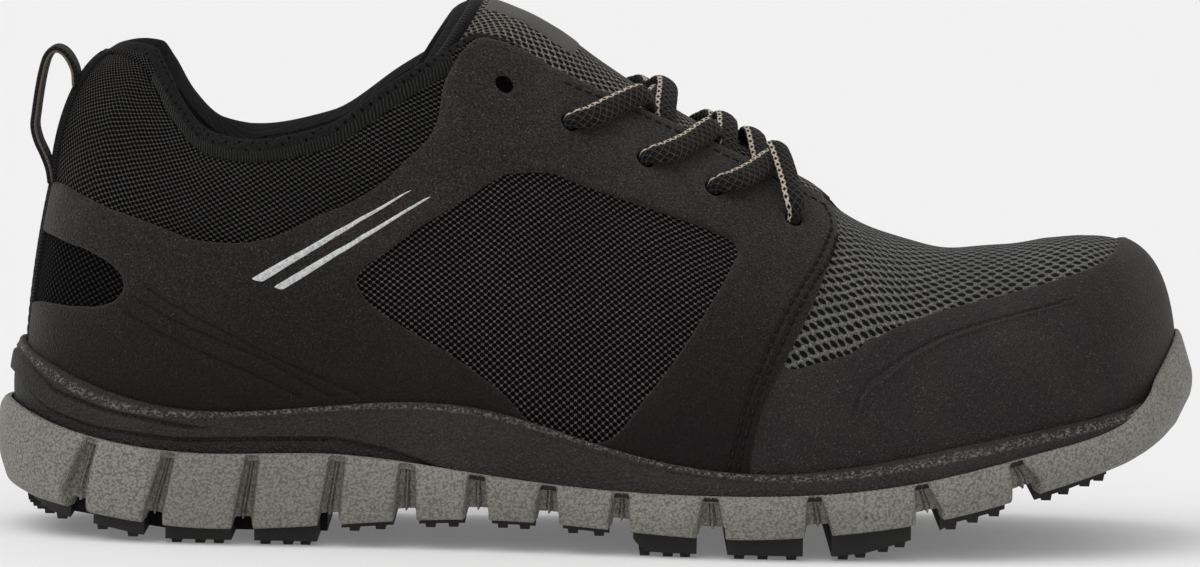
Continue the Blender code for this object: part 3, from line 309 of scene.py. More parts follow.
# The flat pattern: x is the arc along the foot's outline, y the arc up the rib, both in mm
patternStations = np.linspace(-2, 30, 3201)
footRun = footPoint(patternStations)[:, :2]
patternArc = lengthAlong(footRun)
patternArc = 1000 * (patternArc - np.interp(0, patternStations, patternArc))
ribGrid = upperPoint(patternStations[::20, None], np.linspace(0, 1, 41)[None, :])
ribTable = 1000 * np.linalg.norm(np.diff(ribGrid, axis=1), axis=-1).sum(1)


def arcOf(u):
    return np.interp(u, patternStations, patternArc)


def ribOf(u):
    return np.interp(u, patternStations[::20], ribTable)


def flatOf(u, v):
    x, y = np.broadcast_arrays(arcOf(u), v * ribOf(u))
    return np.stack([x, y], -1)


def stationOf(flat):
    u = np.interp(flat[..., 0], patternArc, patternStations)
    return u, flat[..., 1] / ribOf(u)


def onUpper(flat):
    return upperPoint(*stationOf(flat))


def mirrored(rows):
    return [(loopStations - u, v) for u, v in rows][::-1]


def smoothPath(points, step, shut=False):
    # Hermite curve through points, its directions weighted by the neighbouring chords
    p = np.asarray(points, float)
    if len(p) == 2:
        count = max(2, int(np.linalg.norm(p[1] - p[0]) / step))
        return p[0] + (p[1] - p[0]) * np.linspace(0, 1, count + 1)[:, None]
    if shut:
        p = np.concatenate([p[-1:], p, p[:2]])
    else:
        p = np.concatenate([2 * p[:1] - p[1:2], p, 2 * p[-1:] - p[-2:-1]])
    chord = np.maximum(np.linalg.norm(np.diff(p, axis=0), axis=1), 1e-9)
    rise = np.diff(p, axis=0) / chord[:, None]
    before, after = chord[:-1, None], chord[1:, None]
    slope = (rise[:-1] * after + rise[1:] * before) / (before + after)
    rows = []
    for i in range(1, len(p) - 2):
        count = max(1, int(np.ceil(chord[i] / step)))
        f = (np.arange(count) / count)[:, None]
        rows.append((2 * f**3 - 3 * f**2 + 1) * p[i]
                    + (f**3 - 2 * f**2 + f) * chord[i] * slope[i - 1] + (3 * f**2 - 2 * f**3) * p[i + 1]
                    + (f**3 - f**2) * chord[i] * slope[i])
    if not shut:
        rows.append(p[-2:-1])
    return np.concatenate(rows)


def flatPath(rows, step, shut=False):
    # Stations and rises as a smooth curve on the flat pattern
    return smoothPath(flatOf(*np.array(rows, float).T), step, shut)


def nearest(points, path, shut=False):
    # Distance of every point to a line of short straight pieces, worked out in blocks
    a = path
    b = np.roll(path, -1, 0) if shut else path[1:]
    a = a if shut else a[:-1]
    run = b - a
    size = np.maximum((run**2).sum(-1), 1e-12)
    best = np.full(len(points), 1e9)
    for start in range(0, len(points), 2000):
        p = points[start:start + 2000, None, :]
        t = np.clip(((p - a) * run).sum(-1) / size, 0, 1)
        gap = p - (a + run * t[..., None])
        best[start:start + 2000] = np.sqrt((gap**2).sum(-1)).min(1)
    return best


def insideOf(points, ring):
    # Even-odd count of the outline's crossings to the right of each point
    x1, y1 = ring[:, 0], ring[:, 1]
    x2, y2 = np.roll(x1, -1), np.roll(y1, -1)
    tall = np.where(np.abs(y2 - y1) < 1e-12, 1e-12, y2 - y1)
    hit = np.zeros(len(points), bool)
    for start in range(0, len(points), 4000):
        x, y = points[start:start + 4000, 0:1], points[start:start + 4000, 1:2]
        across = ((y1 > y) != (y2 > y)) & (x < (x2 - x1) * (y - y1) / tall + x1)
        hit[start:start + 4000] = across.sum(1) % 2 == 1
    return hit


class Surface:
    # Points, faces and pattern places of one piece, gathered before it becomes a mesh
    def __init__(self):
        self.points, self.quads, self.tris = [], [], []
        self.quadFlats, self.triFlats = [], []
        self.quadPaint, self.triPaint = [], []
        self.count = 0

    def addPoints(self, points):
        points = np.asarray(points, float).reshape(-1, 3)
        start = self.count
        self.points.append(points)
        self.count += len(points)
        return start

    def addGrid(self, points, flats=None, wrap=False, paint=0, turn=False):
        # points[i, j]: faces look along d/di x d/dj; wrap joins the last row i to the first
        rows, columns = points.shape[:2]
        start = self.addPoints(points)
        steps = rows if wrap else rows - 1
        i, j = (a.ravel() for a in np.indices((steps, columns - 1)))
        down, side = np.stack([i, i + 1, i + 1, i], 1), np.stack([j, j, j + 1, j + 1], 1)
        quads = start + (down % rows) * columns + side
        if flats is None:
            flats = np.moveaxis(np.indices((steps + 1, columns)), 0, -1)
        places = flats[down, side]
        if turn:
            quads, places = quads[:, ::-1], places[:, ::-1]
        self.quads.append(quads)
        self.quadFlats.append(places)
        self.quadPaint.append(np.full(len(quads), paint) if np.isscalar(paint)
                              else np.asarray(paint)[i, j])

    def addTris(self, points, tris, flats):
        self.tris.append(tris + self.addPoints(points))
        self.triFlats.append(flats[tris])
        self.triPaint.append(np.zeros(len(tris), int))

    def addMany(self, points, faces):
        # points[n, k]: n copies of one small shape with quads faces[m, 4]
        copies, size = points.shape[:2]
        start = self.addPoints(points)
        faces = np.asarray(faces)
        quads = (start + np.arange(copies)[:, None, None] * size + faces).reshape(-1, 4)
        self.quads.append(quads)
        self.quadFlats.append(np.zeros((len(quads), 4, 2)))
        self.quadPaint.append(np.zeros(len(quads), int))


def makePiece(name, surface, replaced, materials, smooth=True):
    # The gathered surface becomes a mesh with its pattern map, its near twins merged, and rides
    data = bpy.data.meshes.new(name)
    points = np.concatenate(surface.points) + shoe["shift"]
    quads = np.concatenate(surface.quads) if surface.quads else np.zeros((0, 4), int)
    tris = np.concatenate(surface.tris) if surface.tris else np.zeros((0, 3), int)
    corners = np.concatenate([quads.ravel(), tris.ravel()]).astype(np.int32)
    data.vertices.add(len(points))
    data.vertices.foreach_set("co", points.ravel())
    data.loops.add(len(corners))
    data.loops.foreach_set("vertex_index", corners)
    starts = np.concatenate([np.arange(len(quads)) * 4,
                             len(quads) * 4 + np.arange(len(tris)) * 3]).astype(np.int32)
    data.polygons.add(len(starts))
    data.polygons.foreach_set("loop_start", starts)
    data.update(calc_edges=True)
    layer = data.uv_layers.new(name="pattern")
    flats = [a.reshape(-1, 2) for a in surface.quadFlats + surface.triFlats]
    layer.data.foreach_set("uv", np.concatenate(flats).astype(np.float32).ravel())
    paint = np.concatenate(surface.quadPaint + surface.triPaint).astype(np.int32)
    for material in materials:
        data.materials.append(material)
    data.polygons.foreach_set("material_index", paint)
    data.polygons.foreach_set("use_smooth", np.full(len(starts), smooth))
    data.validate()
    body = bmesh.new()
    body.from_mesh(data)
    bmesh.ops.remove_doubles(body, verts=body.verts, dist=4e-6)
    bmesh.ops.dissolve_degenerate(body, edges=body.edges, dist=1e-7)
    body.to_mesh(data)
    body.free()
    piece = bpy.data.objects.new(name, data)
    bpy.context.scene.collection.objects.link(piece)
    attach(piece, "root")
    if replaced:
        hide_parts(*replaced)
    print("made", name, len(data.polygons), "faces")
    return piece


# Seams and edges measured on the outer side as station and rise; the inner side mirrors them
edges = {
    "collar": [(1.07, .511), (1.73, .51), (2.38, .524), (3.03, .582), (3.57, .631), (3.86, .64),
        (4.3, .657), (4.53, .681), (4.87, .728), (5.19, .749), (5.38, .755), (5.59, .786),
        (5.76, .814), (5.85, .851), (5.90, .90), (5.96, .955), (6.03, .995)],
    "saddle": [(9.14, .90), (9.13, .843), (9.03, .733), (8.87, .577), (8.67, .415), (8.5, .301),
        (8.35, .213), (8.27, .136), (8.22, .079), (8.2, .02)],
    "sideWindow": [(5.13, .484), (5.18, .422), (5.44, .311), (5.82, .216), (6.21, .128),
        (6.45, .073), (6.65, .055), (7.04, .07), (7.3, .157), (7.62, .286), (7.88, .428),
        (8.09, .572), (8.14, .618), (8.1, .649), (7.98, .657), (7.6, .653), (7.11, .657),
        (6.68, .652), (6.28, .626), (5.97, .605), (5.66, .575), (5.37, .537), (5.19, .515)],
    "heelWindow": [(0.45, .393), (0.92, .395), (1.67, .394), (2.31, .402), (2.7, .406),
        (2.89, .395), (2.93, .371), (2.84, .333), (2.66, .304), (2.21, .273), (1.55, .261),
        (0.99, .257), (0.45, .257)],
    "toe": [(8.54, .295), (8.79, .318), (9.12, .352), (9.42, .388), (9.78, .467), (10.38, .54),
        (11.14, .575), (11.85, .585), (12.38, .621), (12.79, .668), (13.3, .745), (14, .785)],
    "eyelets": [(6.42, .865), (6.92, .836), (7.51, .805), (7.99, .811), (8.67, .814)],
    "stitched": [[(9.04, .835), (8.93, .733), (8.71, .572), (8.52, .45), (8.41, .375), (8.3, .292),
        (8.16, .185), (8.06, .081), (8.02, .041)], [(9.09, .80), (8.99, .70), (8.79, .572),
        (8.58, .43), (8.47, .35), (8.35, .27), (8.22, .17), (8.13, .085), (8.1, .041)]],
    "pressed": [[(3.25, .411), (3.93, .355), (4.54, .239), (5.11, .137)], [(3.16, .363),
        (3.98, .311), (4.91, .132)], [(3.07, .313), (4.06, .238), (4.68, .129)]],
    "toeLines": [[(9.14, .18), (9.24, .243), (9.44, .285), (9.83, .372), (10.34, .438),
        (10.87, .462), (11.57, .462)], [(9.17, .165), (9.28, .228), (9.48, .270), (9.86, .357),
        (10.37, .422), (10.9, .447), (11.57, .45)]],
    "bars": [([(4.24, .517), (4.5, .58), (4.79, .632), (5.07, .674), (5.33, .685), (5.58, .69)],
        [(4.35, .504), (4.61, .567), (4.89, .622), (5.15, .662), (5.4, .675), (5.64, .69)]),
        ([(4.42, .489), (4.69, .547), (4.96, .596), (5.22, .626), (5.46, .636), (5.71, .651)],
        [(4.51, .474), (4.78, .533), (5.05, .586), (5.3, .612), (5.53, .628), (5.78, .65)])],
}
fabric = {
    "eyeletRadius": 0.0019, "edgeRadius": 0.95,   # mm, roll of the cut edges
    "bury": 0.35,          # mm that an overlay's edge sits in the mesh, as if bonded
    "spacing": 1.7,        # mm between the points of an overlay
    "puffCollar": 1.5,     # mm that the collar's padding stands out
    "lip": 0.955,          # rise where the ribbed lining turns over the collar
}


def swell(u, v):
    # Padding that stands out between the overlays, in mm: a half wave over the collar,
    # and a low roll with a seam valley where the lining turns over it
    s, side = fold(u)
    edgeU = np.array([p[0] for p in edges["collar"]])
    edgeV = np.array([p[1] for p in edges["collar"]])
    low = np.interp(s, edgeU, edgeV)
    t = np.clip((v - low) / np.maximum(0.98 - low, 0.05), 0, 1)
    puff = fabric["puffCollar"] * np.sin(np.pi * t**0.8) * ease((5.75 - s) / 0.5)
    over = (v - fabric["lip"]) / 0.045
    lip = 0.9 * np.sin(np.pi * np.clip(over * 0.5, 0, 0.5)) - 0.55 * np.exp(-(over / 0.16)**2)
    return np.where(v > low, puff, 0) + lip * ease((6.1 - s) / 0.3)


folds = [  # path in station and rise, side, width in mm, depth in mm
    ([(9.8, .52), (10.0, .68), (10.2, .84), (10.3, .97)], -1, 8.0, 0.35),
    ([(9.7, .52), (9.9, .68), (10.2, .84), (10.4, .97)], 1, 8.0, 0.4),
    ([(8.1, .20), (8.15, .34), (8.3, .50)], -1, 6.0, 0.25),
    ([(8.0, .20), (8.1, .36), (8.3, .56)], 1, 6.0, 0.3),
    ([(3.6, .55), (3.9, .46), (4.4, .36), (5.0, .22)], -1, 8.0, 0.3),
    ([(3.4, .52), (3.9, .42), (4.5, .30)], 1, 8.0, 0.3),
    ([(1.2, .62), (2.0, .66), (2.8, .74)], -1, 6.0, 0.4),
    ([(1.4, .76), (2.2, .82), (2.9, .88)], -1, 5.0, 0.3),
    ([(1.2, .64), (2.1, .70), (2.8, .78)], 1, 6.0, 0.4),
    ([(4.2, .80), (4.9, .84), (5.3, .90)], -1, 5.0, 0.25),
]
foldPaths = []
for path, side, width, depth in folds:
    line = flatPath(path, 2.0)
    u, v = stationOf(line)
    foldPaths.append((upperPoint(u if side < 0 else loopStations - u, v), width, depth))


def folded(base):
    # Each fold is a valley exp(-(d/w)^2) with a low ridge beside it, d the distance to its line
    shape = base.shape[:-1]
    flat = base.reshape(-1, 3)
    total = np.zeros(len(flat))
    for line, width, depth in foldPaths:
        close = np.linalg.norm(flat - line.mean(0), axis=1) < 0.05
        if not close.any():
            continue
        d = 1000 * nearest(flat[close], line) / width
        total[close] += depth * (0.45 * np.exp(-((d - 1.3) / 0.8)**2) - np.exp(-d**2))
    return total.reshape(shape)


def skinAt(u, v, height):
    # A place on the upper, height in mm above its cloth
    base = upperPoint(u, v)
    lift = 0.001 * (swell(u, v) + folded(base) + height)
    return base + upperNormal(u, v) * lift[..., None]


def vampFlat(points):
    # Cloth laid over the vamp: x along the shoe, y the distance from its ridge, in mm
    s = np.linspace(5.6, toeStation, 200)
    ridge = topPoint(s) * (1, 0.5, 1) + topPoint(loopStations - s) * (0, 0.5, 0)
    y = np.interp(points[..., 0], ridge[:, 0], ridge[:, 1])
    z = np.interp(points[..., 0], ridge[:, 0], ridge[:, 2])
    down = np.hypot(points[..., 1] - y, points[..., 2] - z)
    far = np.maximum(points[..., 0] - ridge[-1, 0], 0)
    bend = 1 + 0.12 * ease(down / 0.06)
    return 1000 * np.stack([points[..., 0] + 0.3 * far, np.sign(points[..., 1] - y) * down * bend], -1)


def makeUpperMesh():
    # The cloth shell: every rib sampled from the sole to the top line, all round
    u = np.linspace(0, loopStations, 449)[:-1]
    v = np.concatenate([np.linspace(0, 0.9, 58), np.linspace(0.9, 1.0, 24)[1:]])
    uu, vv = np.meshgrid(u, v, indexing="ij")
    points = skinAt(uu, vv, 0 * uu)
    ended = np.append(u, loopStations)
    flats = flatOf(ended[:, None], v[None, :])
    over = np.concatenate([points, points[:1]])
    vampFlats = vampFlat(over)
    s, _ = fold(0.5 * (ended[:-1] + ended[1:]))
    s, low = s[:, None], v[None, :-1]
    paint = np.where(s > 8.36, 1, 2)
    paint = np.where((s > 5.0) & (s < 8.36) & (low < 0.7), 0, paint)
    # the heel's window takes the darker net, painted shade
    paint = np.where((s < 3.2) & (low < 0.45), 4, paint)
    paint = np.where((s > 2.5) & (s < 6.05) & (low > fabric["lip"]), 3, paint)
    surface = Surface()
    surface.addGrid(points, flats, wrap=True, paint=paint)
    quadFlat = surface.quadFlats[0].reshape(len(u), len(v) - 1, 4, 2)
    i, j = np.meshgrid(np.arange(len(u)), np.arange(len(v) - 1), indexing="ij")
    corner = np.stack([vampFlats[i, j], vampFlats[i + 1, j], vampFlats[i + 1, j + 1],
                       vampFlats[i, j + 1]], 2)
    quadFlat[paint == 1] = corner[paint == 1]
    surface.quadFlats[0] = quadFlat.reshape(-1, 4, 2)
    makePiece("upperCloth", surface, ["upper"],
              [netCloth, vampCloth, fineNet, ribLining, shadedHeelNet])


def makeLining():
    # The inner skin: a rolled crown over the padding, then down to the insole.
    # The crown is edge + (lining - edge) t + rise * width * 0.5 sin(pi t)
    surface = Surface()
    u = np.linspace(-throatStation, throatStation, 301)
    edge = skinAt(u, np.ones_like(u), 0 * u)
    inner = liningPoint(u, 1.0)
    rise = unit(edge - upperPoint(u, 0.98))
    width = np.linalg.norm(inner - edge, axis=-1, keepdims=True)
    width[[0, -1]] *= 0.3
    part = np.linspace(0, 1, 13)
    roll = edge[:, None] + (inner - edge)[:, None] * part[None, :, None] \
        + (rise * width)[:, None] * 0.5 * np.sin(np.pi * part)[None, :, None]
    roll[-1] = roll[0]
    s = np.abs(u)
    flats = np.stack([np.broadcast_to(arcOf(u)[:, None], roll.shape[:2]),
                      ribOf(s)[:, None] + 1000 * width * part[None, :]], -1)
    surface.addGrid(roll, flats)
    u = np.linspace(0, loopStations, 337)[:-1]
    v = np.linspace(1, 0.0, 50)
    uu, vv = np.meshgrid(u, v, indexing="ij")
    cheek = 0.0016 * np.sin(np.pi * np.clip((vv - 0.55) / 0.45, 0, 1))
    cheek *= ease((5.2 - fold(uu)[0]) / 0.8)
    base = liningPoint(uu, vv) - upperNormal(uu, vv) * cheek[..., None]
    base[..., 2] = np.maximum(base[..., 2], shoe["soleHeight"] * seatLine(uu) + 0.0024)
    ended = np.append(u, loopStations)
    flats = flatOf(ended[:, None], 2 - v[None, :])
    surface.addGrid(base, flats, wrap=True)
    piece = makePiece("collarLining", surface, [], [liningCloth])


def cutPatch(surface, segments, holes, top, lines=(), closed=(), back=-0.5):
    # A sheet cut from the flat pattern and laid on the upper. Its height over the cloth is
    # h(d) = -bury + (top + bury) sqrt(1 - (1 - d/r)^2), d the distance to its cut edge
    rings = [np.concatenate([flatPath(segment, 0.8)[:-1] for segment in segments])]
    rings += [flatPath(hole, 0.8, True) for hole in holes] + list(closed)
    e = 0.5
    free = []
    for ring in rings:
        run = np.roll(ring, -1, 0) - np.roll(ring, 1, 0)
        here = onUpper(ring)
        kx, ky = (np.linalg.norm(onUpper(ring + way) - here, axis=1) * 1000 / e
                  for way in ((e, 0), (0, e)))
        real = unit(run * np.stack([kx, ky], 1))
        normal = np.stack([-real[:, 1] / kx, real[:, 0] / ky], 1)
        test = insideOf(ring + normal * 0.05, rings[0])
        for r in rings[1:]:
            test &= ~insideOf(ring + normal * 0.05, r)
        sign = 1 if test.mean() > 0.5 else -1
        for step in (0.14, 0.42, 0.95):
            free.append(ring + normal * sign * step)
    low, high = rings[0].min(0), rings[0].max(0)
    spacing = fabric["spacing"]
    gx, gy = np.meshgrid(np.arange(low[0], high[0], spacing),
                         np.arange(low[1], high[1], spacing * 0.87))
    gx = gx + (np.arange(gx.shape[0]) % 2)[:, None] * spacing / 2
    grid = np.stack([gx.ravel(), gy.ravel()], 1)
    lineRings = [flatPath(line, 0.8) for line, _, _ in lines]
    for line in lineRings:
        run = unit(np.gradient(line, axis=0))
        normal = np.stack([-run[:, 1], run[:, 0]], 1)
        for step in (-1.2, -0.75, -0.38, 0, 0.38, 0.75, 1.2):
            free.append(line + normal * step)

    def edgeDistance(flat):
        solid = onUpper(flat)
        return 1000 * np.min([nearest(solid, onUpper(r), True) for r in rings], axis=0)

    def inner(flat):
        good = insideOf(flat, rings[0])
        for r in rings[1:]:
            good &= ~insideOf(flat, r)
        return good
    free = np.concatenate(free)
    free = free[inner(free)]
    free = free[edgeDistance(free) > 0.1]
    grid = grid[inner(grid)]
    grid = grid[edgeDistance(grid) > 1.5]
    for line in lineRings:
        grid = grid[nearest(grid, line) > 1.4]
    points, pairs = [], []
    for ring in rings:
        start = len(points)
        points.extend(Vector(p) for p in ring)
        pairs.extend((start + i, start + (i + 1) % len(ring)) for i in range(len(ring)))
    points.extend(Vector(p) for p in np.concatenate([free, grid]))
    verts, _, tris, *_ = delaunay_2d_cdt(points, pairs, [], 0, 1e-4)
    flat = np.array([tuple(p) for p in verts])
    tris = np.array([tuple(t) for t in tris])
    tris = tris[inner(flat[tris].mean(1))]
    cross = np.cross(flat[tris[:, 1]] - flat[tris[:, 0]], flat[tris[:, 2]] - flat[tris[:, 0]])
    tris = tris[np.abs(cross) > 1e-6]
    turned = cross[np.abs(cross) > 1e-6] < 0
    tris[turned] = tris[turned][:, ::-1]
    used = np.unique(tris)
    number = np.full(len(flat), -1)
    number[used] = np.arange(len(used))
    flat, tris = flat[used], number[tris]
    d = np.clip(edgeDistance(flat) / fabric["edgeRadius"], 0, 1)
    bury = fabric["bury"]
    height = -bury + (top + bury) * np.sqrt(np.maximum(1 - (1 - d)**2, 0))
    for (_, wide, deep), ring in zip(lines, lineRings):
        gap = 1000 * nearest(onUpper(flat), onUpper(ring))
        height = height + deep * np.exp(-(gap / wide)**2) * ease(d * 2)
    for lift, faces in ((height, tris), (np.full(len(flat), back), tris[:, ::-1])):
        surface.addTris(skinAt(*stationOf(flat), lift), faces, flat)
    pairs = np.concatenate([tris[:, [0, 1]], tris[:, [1, 2]], tris[:, [2, 0]]])
    key = pairs[:, 0] * len(flat) + pairs[:, 1]
    other = pairs[:, 1] * len(flat) + pairs[:, 0]
    rim = pairs[~np.isin(key, other)]
    a, b = rim[:, 0], rim[:, 1]
    size = len(flat)
    base = surface.count - 2 * size
    quads = np.stack([b, a, a + size, b + size], 1) + base
    surface.quads.append(quads)
    surface.quadFlats.append(np.stack([flat[b], flat[a], flat[a], flat[b]], 1))
    surface.quadPaint.append(np.zeros(len(quads), int))


def circleFlat(u, v, radius, count=20):
    # A round hole drawn on the pattern so that it comes out round on the shoe
    centre = flatOf(np.array(u), np.array(v))
    kx, ky = (np.linalg.norm(onUpper(centre + way) - onUpper(centre)) * 2000
              for way in ((0.5, 0), (0, 0.5)))
    angle = np.linspace(0, 2 * np.pi, count, endpoint=False)
    return centre + 1000 * radius * np.stack([np.cos(angle) / kx, np.sin(angle) / ky], 1)


def quarterSegments(side):
    collar, saddle = edges["collar"], edges["saddle"]
    rows = [[(0.53, .02), (0.53, .511)],
            [(0.53, .511)] + collar[:-3] + [(5.89, .885), (5.94, .93), (6.04, .968), (6.18, .989),
                                            (6.36, .997), (6.7, .997), (7.6, .997), (8.5, .997),
                                            (9.0, .995), (9.13, .965)],
            [(9.13, .965)] + saddle, [saddle[-1], (6.0, .02), (3.0, .02), (0.53, .02)]]
    if side < 0:
        return rows
    return [mirrored(r) for r in rows[::-1]]


def makeOverlays():
    for name, side, node in (("overlayOuter", -1, "quarter_overlay_outer"),
                             ("overlayInner", 1, "quarter_overlay_inner")):
        turn = list if side < 0 else mirrored
        holes = [turn(edges["sideWindow"]), turn(edges["heelWindow"])]
        circles = [circleFlat(u if side < 0 else loopStations - u, v, fabric["eyeletRadius"])
                   for u, v in edges["eyelets"]]
        lines = [(turn(line), 0.62, -0.95) for line in edges["pressed"]]
        lines += [(turn(line), 0.55, -0.26) for line in edges["stitched"]]
        surface = Surface()
        cutPatch(surface, quarterSegments(side), holes, 1000 * shoe["overlay"], lines, circles)
        makePiece(name, surface, [node], [microfibre])
    surface = Surface()
    rear = [(u - 0.02, v) for u, v in edges["saddle"][::-1][:5]]
    side = [rear, [rear[-1]] + edges["toe"]]
    base = [(8.18, .02), (11.0, .02), (14, .02), (17.0, .02), (loopStations - 8.18, .02)]
    segments = side + [mirrored(side[1]), mirrored(side[0]), base[::-1]]
    lines = []
    for line, deep in zip(edges["toeLines"], (-0.5, 0.42)):
        lines += [(line, 0.36, deep), (mirrored(line), 0.36, deep)]
    lap = [(u + 0.05, v) for u, v in rear[1:]]
    lines += [(lap, 0.9, -0.5), (mirrored(lap), 0.9, -0.5)]
    cutPatch(surface, segments, [], 800 * shoe["toeSkin"], lines)
    makePiece("toeGuard", surface, ["toe_overlay"], [toeFilm])
    surface = Surface()
    strip = [[(-.5, .02), (.5, .02)], [(.5, .02), (.5, .5), (.5, .97)], [(.5, .97), (-.5, .97)],
             [(-.5, .97), (-.5, .5), (-.5, .02)]]
    cutPatch(surface, strip, [], 1.1)
    makePiece("heelStrip", surface, ["heel_strip"], [blackWebbing])


def makeBars():
    # Two thin reflective strips, each a ruled strip between two measured lines
    surface = Surface()
    for side in (-1, 1):
        for bar in edges["bars"]:
            t = np.linspace(0, 1, 60)[:, None]
            first, second = (through([tuple(flatOf(*np.array(p))) for p in line], 12)[:60]
                             for line in bar)
            w = np.linspace(0, 1, 7)[None, :, None]
            flat = first[:, None] * (1 - w) + second[:, None] * w
            u, v = stationOf(flat)
            if side > 0:
                u = loopStations - u
            crown = np.sin(np.pi * np.linspace(0, 1, 7))**0.3
            ends = np.minimum(1, np.minimum(t, 1 - t) * 30)
            points = skinAt(u, v, 1000 * shoe["overlay"] - 0.12 + 0.26 * crown * ends)
            surface.addGrid(points, flat, turn=side < 0)
    makePiece("reflectiveBars", surface, [], [silverFilm])


def capsules(centres, along, up, length, width, thick):
    # A stitch: five rings of six points, an ellipsoid stretched along the seam
    t = np.array([-1, -0.72, 0, 0.72, 1.0])
    profile = np.sqrt(np.maximum(1 - t**4, 0))
    profile[0] = profile[-1] = 0.02
    angle = np.linspace(0, 2 * np.pi, 6, endpoint=False)
    side = np.cross(up, along)
    rings = (centres[:, None, None] + along[:, None, None] * (length / 2 * t)[None, :, None, None]
             + side[:, None, None] * (width / 2 * profile[:, None] * np.cos(angle))[None, ..., None]
             + up[:, None, None] * (thick / 2 * profile[:, None] * np.sin(angle))[None, ..., None])
    faces = [(r * 6 + k, r * 6 + (k + 1) % 6, (r + 1) * 6 + (k + 1) % 6, (r + 1) * 6 + k)
             for r in range(4) for k in range(6)]
    faces += [(0, 3, 2, 1), (0, 5, 4, 3), (24, 25, 26, 27), (24, 27, 28, 29)]
    return rings.reshape(len(centres), 30, 3), faces


def stitchPlaces(path, pitch, height):
    # Where each stitch stands, the way it runs and the way out of the shoe; pitch in mm
    line = flatPath(path, 0.5)
    solid = skinAt(*stationOf(line), np.full(len(line), height))
    gone = 1000 * lengthAlong(solid)
    marks = np.arange(pitch / 2, gone[-1], pitch)
    here, ahead = placesAt(marks, gone, solid), placesAt(marks + 0.3, gone, solid)
    return here, unit(ahead - here + 1e-9), upperNormal(*stationOf(placesAt(marks, gone, line)))


stitch = {   # pitch in mm; length, width and thickness in metres
    "seam": (2.7, (0.0021, 0.0008, 0.0008)), "heel": (2.4, (0.0019, 0.0006, 0.0005)),
    "heelRows": (-0.36, 0.36),      # stations of the two rows on the heel strip
}


def makeStitches():
    rows = edges["stitched"] + [[(6.95, .965), (7.5, .962), (8.1, .96), (8.7, .955), (8.98, .94)],
                                [(8.98, .94), (9.03, .9), (9.04, .835)]]
    surface = Surface()
    for row in rows:
        for path in (row, mirrored(row)):
            pitch, size = stitch["seam"]
            places = stitchPlaces(path, pitch, 1000 * shoe["overlay"] - 0.06)
            surface.addMany(*capsules(*places, *size))
    for x in stitch["heelRows"]:
        pitch, size = stitch["heel"]
        places = stitchPlaces([(x, .06), (x, .3), (x, .6), (x, .95)], pitch, 1.1)
        surface.addMany(*capsules(*places, *size))
    makePiece("seamStitches", surface, [], [blackThread])


def makeEyeletHoles():
    # Painted shade inside each punched hole: a near black shallow cup sunk below the overlay's top
    surface = Surface()
    for s, v in edges["eyelets"]:
        for u in (s, loopStations - s):
            centre = skinAt(np.array(u), np.array(v), np.array(0.0))
            out = upperNormal(u, v)
            side = unit(np.cross(out, (0, 0, 1.0)))
            other = np.cross(out, side)
            angle = np.linspace(0, 2 * np.pi, 25)[:-1]
            spoke = np.cos(angle)[:, None] * side + np.sin(angle)[:, None] * other
            rings = [centre + spoke * r + out * h for r, h in
                     ((0.0023, 0.0007), (0.00185, 0.0009), (0.00175, 0.0002), (0.00002, 0.0001))]
            surface.addGrid(np.stack(rings, 1), wrap=True, turn=True)
    makePiece("eyeletHoles", surface, [], [paintedEyeletShade])


def bevelRings(rings, radii, steps=4):
    # Rounds the corners of a profile carried round the shoe with quadratic arcs
    result = [rings[0]]
    for before, here, after, radius in zip(rings, rings[1:], rings[2:], radii):
        back, ahead = before - here, after - here
        a = np.linalg.norm(back, axis=-1, keepdims=True)
        b = np.linalg.norm(ahead, axis=-1, keepdims=True)
        reach = np.minimum(radius, 0.45 * np.minimum(a, b))
        p, q = here + unit(back) * reach, here + unit(ahead) * reach
        for t in np.linspace(0, 1, steps):
            result.append((1 - t)**2 * p + 2 * t * (1 - t) * here + t**2 * q)
    result.append(rings[-1])
    return result


def ladder(ring, steps):
    # Joins the two sides of a closed ring with straight lines across the shoe
    half = len(ring) // 2
    other = np.concatenate([ring[:1], ring[:half - 1:-1]])
    t = np.linspace(0, 1, steps)[None, :, None]
    return ring[:half + 1, None] * (1 - t) + other[:, None] * t


def wallFlats(u, grid):
    # The pattern of a wall round the shoe: the arc along the foot and the height, in mm
    tall = 1000 * np.concatenate([grid[..., 2], grid[:1, :, 2]])
    return np.stack(np.broadcast_arrays(arcOf(np.append(u, loopStations))[:, None], tall), -1)


bandLines = {   # side view of the two moulded lines of the dark band, in mm from the heel
    "upper": [(2.0, 44.6), (6.9, 43.5), (17.4, 36.1), (29.6, 32.0), (45.6, 29.1), (60.0, 27.6)],
    "lower": [(2.0, 39.6), (6.5, 38.6), (15.3, 32.0), (27.7, 28.0), (46.4, 25.9), (64.8, 26.5),
              (83.5, 26.8), (97.1, 24.4), (104.5, 22.1), (114.0, 18.6), (124.0, 14.0)],
    "step": 0.0012, "bulge": 0.0007,        # metres that the lower line and the wall stand out
    "groove": 0.0009, "grooveHalf": 0.00045, "crease": 0.0004,
    "hidden": 0.0045,                       # drawn back where the grey toe bumper covers it
}
grooves = {     # stations of each side groove: its two edges at the top, then at the foot
    "rows": [(2.583, 2.792, 2.254, 2.648), (3.491, 3.648, 3.300, 3.530),
        (4.253, 4.394, 4.150, 4.343), (4.928, 5.075, 4.848, 5.035), (5.460, 5.608, 5.428, 5.617),
        (5.983, 6.139, 5.960, 6.162), (6.531, 6.685, 6.496, 6.704), (7.101, 7.250, 7.070, 7.258),
        (7.807, 7.969, 7.771, 8.026), (8.691, 8.859, 8.683, 8.944), (9.680, 9.853, 9.700, 9.990),
        (10.632, 10.819, 10.669, 11.006)],
    "depth": 0.0042, "cross": 0.0028,
}


